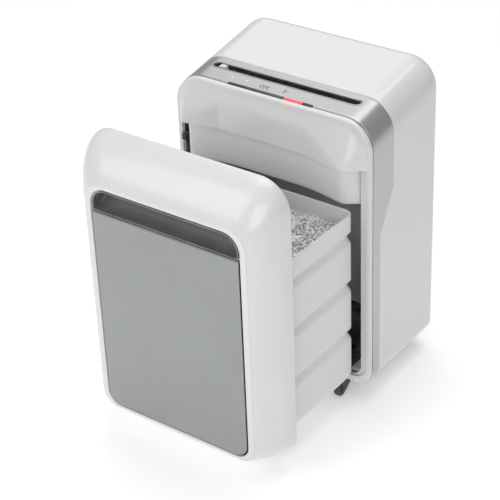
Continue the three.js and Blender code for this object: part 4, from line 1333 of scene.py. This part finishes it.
    def build_shreds(self) -> None:
        """Heap of cut paper: an uneven base and several thousand short bent strips lying on it.

        A strip is a flat bar of three bays. Its ends are lifted by the square of the distance from its
        middle, and it is turned by a random heading, pitch and roll.
        """
        rng = np.random.default_rng(11)
        nx, ny = 60, 40
        x, y = np.meshgrid(np.linspace(-150, 150, nx), np.linspace(-1.5, 193.5, ny), indexing="ij")
        top = self.heap_height(x, y) + rng.normal(0, 0.7, x.shape)
        upper = np.stack([x, y, top], axis=-1)
        lower = np.stack([x, y, np.full_like(x, self.heap_top - 34)], axis=-1)
        faces = grid_faces(nx, ny, False, False)
        border = np.concatenate([np.arange(ny), np.arange(1, nx) * ny + ny - 1,
                                 (nx - 1) * ny + np.arange(ny - 2, -1, -1), np.arange(nx - 2, 0, -1) * ny])
        beyond = np.roll(border, -1)
        walls = np.stack([border, beyond, beyond + nx * ny, border + nx * ny], axis=1)
        base = np.concatenate([upper.reshape(-1, 3), lower.reshape(-1, 3)])
        closed = np.concatenate([faces, faces[:, ::-1] + nx * ny, walls])
        shape = Shape(self.datum).add(base, closed.tolist())

        count, bays = self.strip_count, 3
        length, width = rng.uniform(*self.strip_length, count), rng.uniform(*self.strip_width, count)
        along = np.linspace(-0.5, 0.5, bays + 1)
        curl = rng.normal(0, 2.2, count)
        ring = np.array([(-0.5, -0.5), (0.5, -0.5), (0.5, 0.5), (-0.5, 0.5)])
        local = np.zeros((count, bays + 1, 4, 3))
        local[..., 0] = (along[None] * length[:, None])[:, :, None]
        local[..., 1] = ring[None, None, :, 0] * width[:, None, None]
        lifted = (curl[:, None] * (4 * along[None] ** 2))[:, :, None]
        local[..., 2] = ring[None, None, :, 1] * self.strip_thickness + lifted
        heading = rng.uniform(0, 2 * math.pi, count)
        pitch, tip = rng.normal(0, 0.38, count), rng.normal(0, 0.45, count)
        for angle, (i, j) in ((tip, (1, 2)), (pitch, (2, 0)), (heading, (0, 1))):
            c, s = np.cos(angle)[:, None, None], np.sin(angle)[:, None, None]
            a, b = local[..., i].copy(), local[..., j].copy()
            local[..., i], local[..., j] = a * c - b * s, a * s + b * c
        px, py = rng.uniform(-144, 144, count), rng.uniform(5, 187, count)
        place = np.stack([px, py, self.heap_height(px, py) + rng.uniform(0.0, 3.2, count)], axis=-1)
        strips = local + place[:, None, None]
        strips[..., 0] = np.clip(strips[..., 0], -150.8, 150.8)
        strips[..., 1] = np.clip(strips[..., 1], -1.8, 193.8)
        strips[..., 2] = np.minimum(strips[..., 2], self.heap_top + 2)
        one = np.concatenate([grid_faces(bays + 1, 4, False, True), [[3, 2, 1, 0]],
                              [[4 * bays, 4 * bays + 1, 4 * bays + 2, 4 * bays + 3]]])
        offset = (np.arange(count) * 4 * (bays + 1))[:, None, None]
        shape.add(strips.reshape(-1, 3), (one[None] + offset).reshape(-1, 4).tolist())
        piece = shape.mesh("shred_heap", math.radians(50))
        self.bench.fit(piece, "bin", "paper_shreds")

    def build(self) -> None:
        """Builds every piece of the bin."""
        self.build_panel()
        self.build_plate()
        self.build_pocket()
        self.build_tub()
        self.build_shreds()


# --------------------------------------------------------------------------- casters


@dataclass
class Casters:
    """Four twin-cheeked casters: a fork on a stem and a tyred wheel."""

    bench: Bench
    datum: Datum
    x: float = 132.0
    front_y: float = 13.5
    rear_y: float = 180.0
    trail: float = 22.0
    wheel_radius: float = 12.5
    wheel_width: float = 11.0
    height: float = 28.0

    def build_wheel(self, corner: str, x: float, y: float) -> None:
        """Wheel: a turned tyre with a dished hub on each side and a bore for the axle."""
        r, half = self.wheel_radius, self.wheel_width / 2
        round_off = 2.6
        crown = [(half - round_off + round_off * math.sin(a), r - round_off + round_off * math.cos(a))
                 for a in np.linspace(0, QUARTER, 6)]
        right = crown + [(half, r - 4.2), (half - 0.8, r - 4.8), (half - 1.2, 5.2), (half - 0.3, 4.6),
                         (half - 0.3, 2.6)]
        profile = right + [(-a, b) for a, b in reversed(right)]
        rows = lathe(profile, (x, y, self.wheel_radius - self.height), Axis.X, 48)
        piece = Shape(self.datum).loft(rows, ring=True).mesh(f"{corner}_tyred_wheel")
        self.bench.fit(piece, f"{corner}_roller", f"{corner}_wheel")

    def build_fork(self, corner: str, x: float, y: float, way: float) -> None:
        """Fork: a rounded top plate on a stem, two cheeks that taper to the axle, and the axle."""
        axle_y, axle_z = y + way * self.trail, self.wheel_radius - self.height
        ends = sorted((y - way * 6, axle_y + way * 5.2))
        shape = Shape(self.datum)
        plate = rounded_outline(8.7, ends[0], ends[1], 7.5, 7.5, arc=8, side=4, span=4)[0] + np.array([x, 0])
        shape.loft(prism(plate, -2.4, -0.5, 0.5, Axis.Z))
        shape.loft(lathe([(-1, 4), (5.6, 4), (6.6, 3)], (x, y, 0), Axis.Z, 24))
        low, high = ends[0] + 1.2, ends[1] - 1.2
        corners = [(low, -1.5), (high, -1.5), (axle_y + 4.2, axle_z - 4), (axle_y - 4.2, axle_z - 4)]
        cheek = rounded_polygon(corners, [1, 1, 4, 4], arc=7)
        for side in (-1, 1):
            inner, outer = sorted((x + side * 6.5, x + side * 8.5))
            shape.loft(prism(cheek, inner, outer, 0.5, Axis.X))
            cap = [(side * 8.4, 3.2), (side * 8.9, 3.2), (side * 9.0, 2.6)]
            shape.loft(lathe(cap, (x, axle_y, axle_z), Axis.X, 20))
        shape.loft(lathe([(-7.2, 2), (7.2, 2)], (x, axle_y, axle_z), Axis.X, 20))
        self.bench.fit(shape.mesh(f"{corner}_caster_fork"), f"{corner}_caster", f"{corner}_fork")

    def build(self) -> None:
        """Builds the four casters, the front pair trailing forward and the rear pair back."""
        for end, y, way in (("front", self.front_y, -1), ("rear", self.rear_y, 1)):
            for side, sign in (("left", -1), ("right", 1)):
                self.build_fork(f"{end}_{side}", sign * self.x, y, way)
                self.build_wheel(f"{end}_{side}", sign * self.x, y + way * self.trail)


# --------------------------------------------------------------------------- studio


@dataclass
class Studio:
    """Pale floor, soft lights and the camera."""

    datum: Datum
    camera_from: tuple[float, float, float] = (1320.65, -1786.31, 1542.65)
    yaw: float = 37.473
    pitch: float = 31.079
    roll: float = -2.413
    lens: float = 115.40
    floor_size: float = 12.0

    def build_camera(self) -> None:
        """Camera: forward from yaw and pitch, then the picture turned by the roll."""
        yaw, pitch, roll = (math.radians(a) for a in (self.yaw, self.pitch, self.roll))
        level = math.cos(pitch)
        forward = Vector((-math.sin(yaw) * level, math.cos(yaw) * level, -math.sin(pitch)))
        right = forward.cross(Vector((0, 0, 1))).normalized()
        up = right.cross(forward)
        across = right * math.cos(roll) + up * math.sin(roll)
        over = up * math.cos(roll) - right * math.sin(roll)
        data = bpy.data.cameras.new("camera")
        data.lens, data.sensor_width = self.lens, 36.0
        camera = bpy.data.objects.new("camera", data)
        turn = Matrix((across, over, -forward)).transposed().to_4x4()
        camera.matrix_world = Matrix.Translation(Vector(self.datum.metres(self.camera_from))) @ turn
        bpy.context.scene.collection.objects.link(camera)
        bpy.context.scene.camera = camera

    def light(self, name: str, place: tuple[float, float, float], size: float, power: float) -> None:
        """A square soft light that faces the middle of the machine."""
        data = bpy.data.lights.new(name, "AREA")
        data.size, data.energy = size, power
        lamp = bpy.data.objects.new(name, data)
        lamp.location = place
        lamp.rotation_euler = (Vector((0, 0, 0.3)) - Vector(place)).to_track_quat("-Z", "Y").to_euler()
        bpy.context.scene.collection.objects.link(lamp)

    def build(self) -> None:
        """Builds the floor, the world, the lights and the camera."""
        data = bpy.data.meshes.new("floor")
        size = self.floor_size
        corners = [(-size, -size, 0), (size, -size, 0), (size, size, 0), (-size, size, 0)]
        data.from_pydata(corners, [], [(0, 1, 2, 3)])
        floor = bpy.data.objects.new("floor", data)
        paint = bpy.data.materials.new("pale_floor")
        paint.use_nodes = True
        shader = paint.node_tree.nodes["Principled BSDF"]
        shader.inputs["Base Color"].default_value = (0.95, 0.95, 0.95, 1)
        shader.inputs["Roughness"].default_value = 0.9
        shader.inputs["Specular IOR Level"].default_value = 0.1
        shader.inputs["Emission Color"].default_value = (1, 1, 1, 1)
        shader.inputs["Emission Strength"].default_value = 0.3
        data.materials.append(paint)
        bpy.context.scene.collection.objects.link(floor)
        world = bpy.data.worlds.new("studio")
        world.use_nodes = True
        world.node_tree.nodes["Background"].inputs["Color"].default_value = (1, 1, 1, 1)
        world.node_tree.nodes["Background"].inputs["Strength"].default_value = 0.26
        bpy.context.scene.world = world
        bpy.context.scene.view_settings.view_transform = "Standard"
        self.light("overhead", (-0.2, 0.5, 3.2), 2.4, 50)
        self.light("front_left", (-1.3, -2.5, 2.3), 1.8, 24)
        self.light("back_left", (-1.6, 2.2, 2.6), 1.6, 8)
        self.light("fill", (1.2, -2.4, 1.5), 1.4, 19)
        self.build_camera()


def main() -> None:
    """Builds the machine on its frame, then the studio round it."""
    logging.basicConfig(level=logging.INFO, format="%(name)s: %(message)s")
    cover_low, cover_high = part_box("rear_cover")
    panel_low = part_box("bin_panel")[0]
    form, panel_depth = BodyForm(), 64.0
    body_datum = Datum(0.0, cover_high.y - form.depth * MM, cover_low.z)
    bin_datum = Datum(0.0, panel_low.y + panel_depth * MM, cover_low.z)
    bench = Bench()
    Body(bench, body_datum, form).build()
    Controls(bench, body_datum, form).build()
    Housing(bench, body_datum).build()
    Bin(bench, bin_datum, form).build()
    Casters(bench, body_datum).build()
    bench.dress_frame()
    Studio(body_datum).build()


if __name__ == "__main__":
    main()
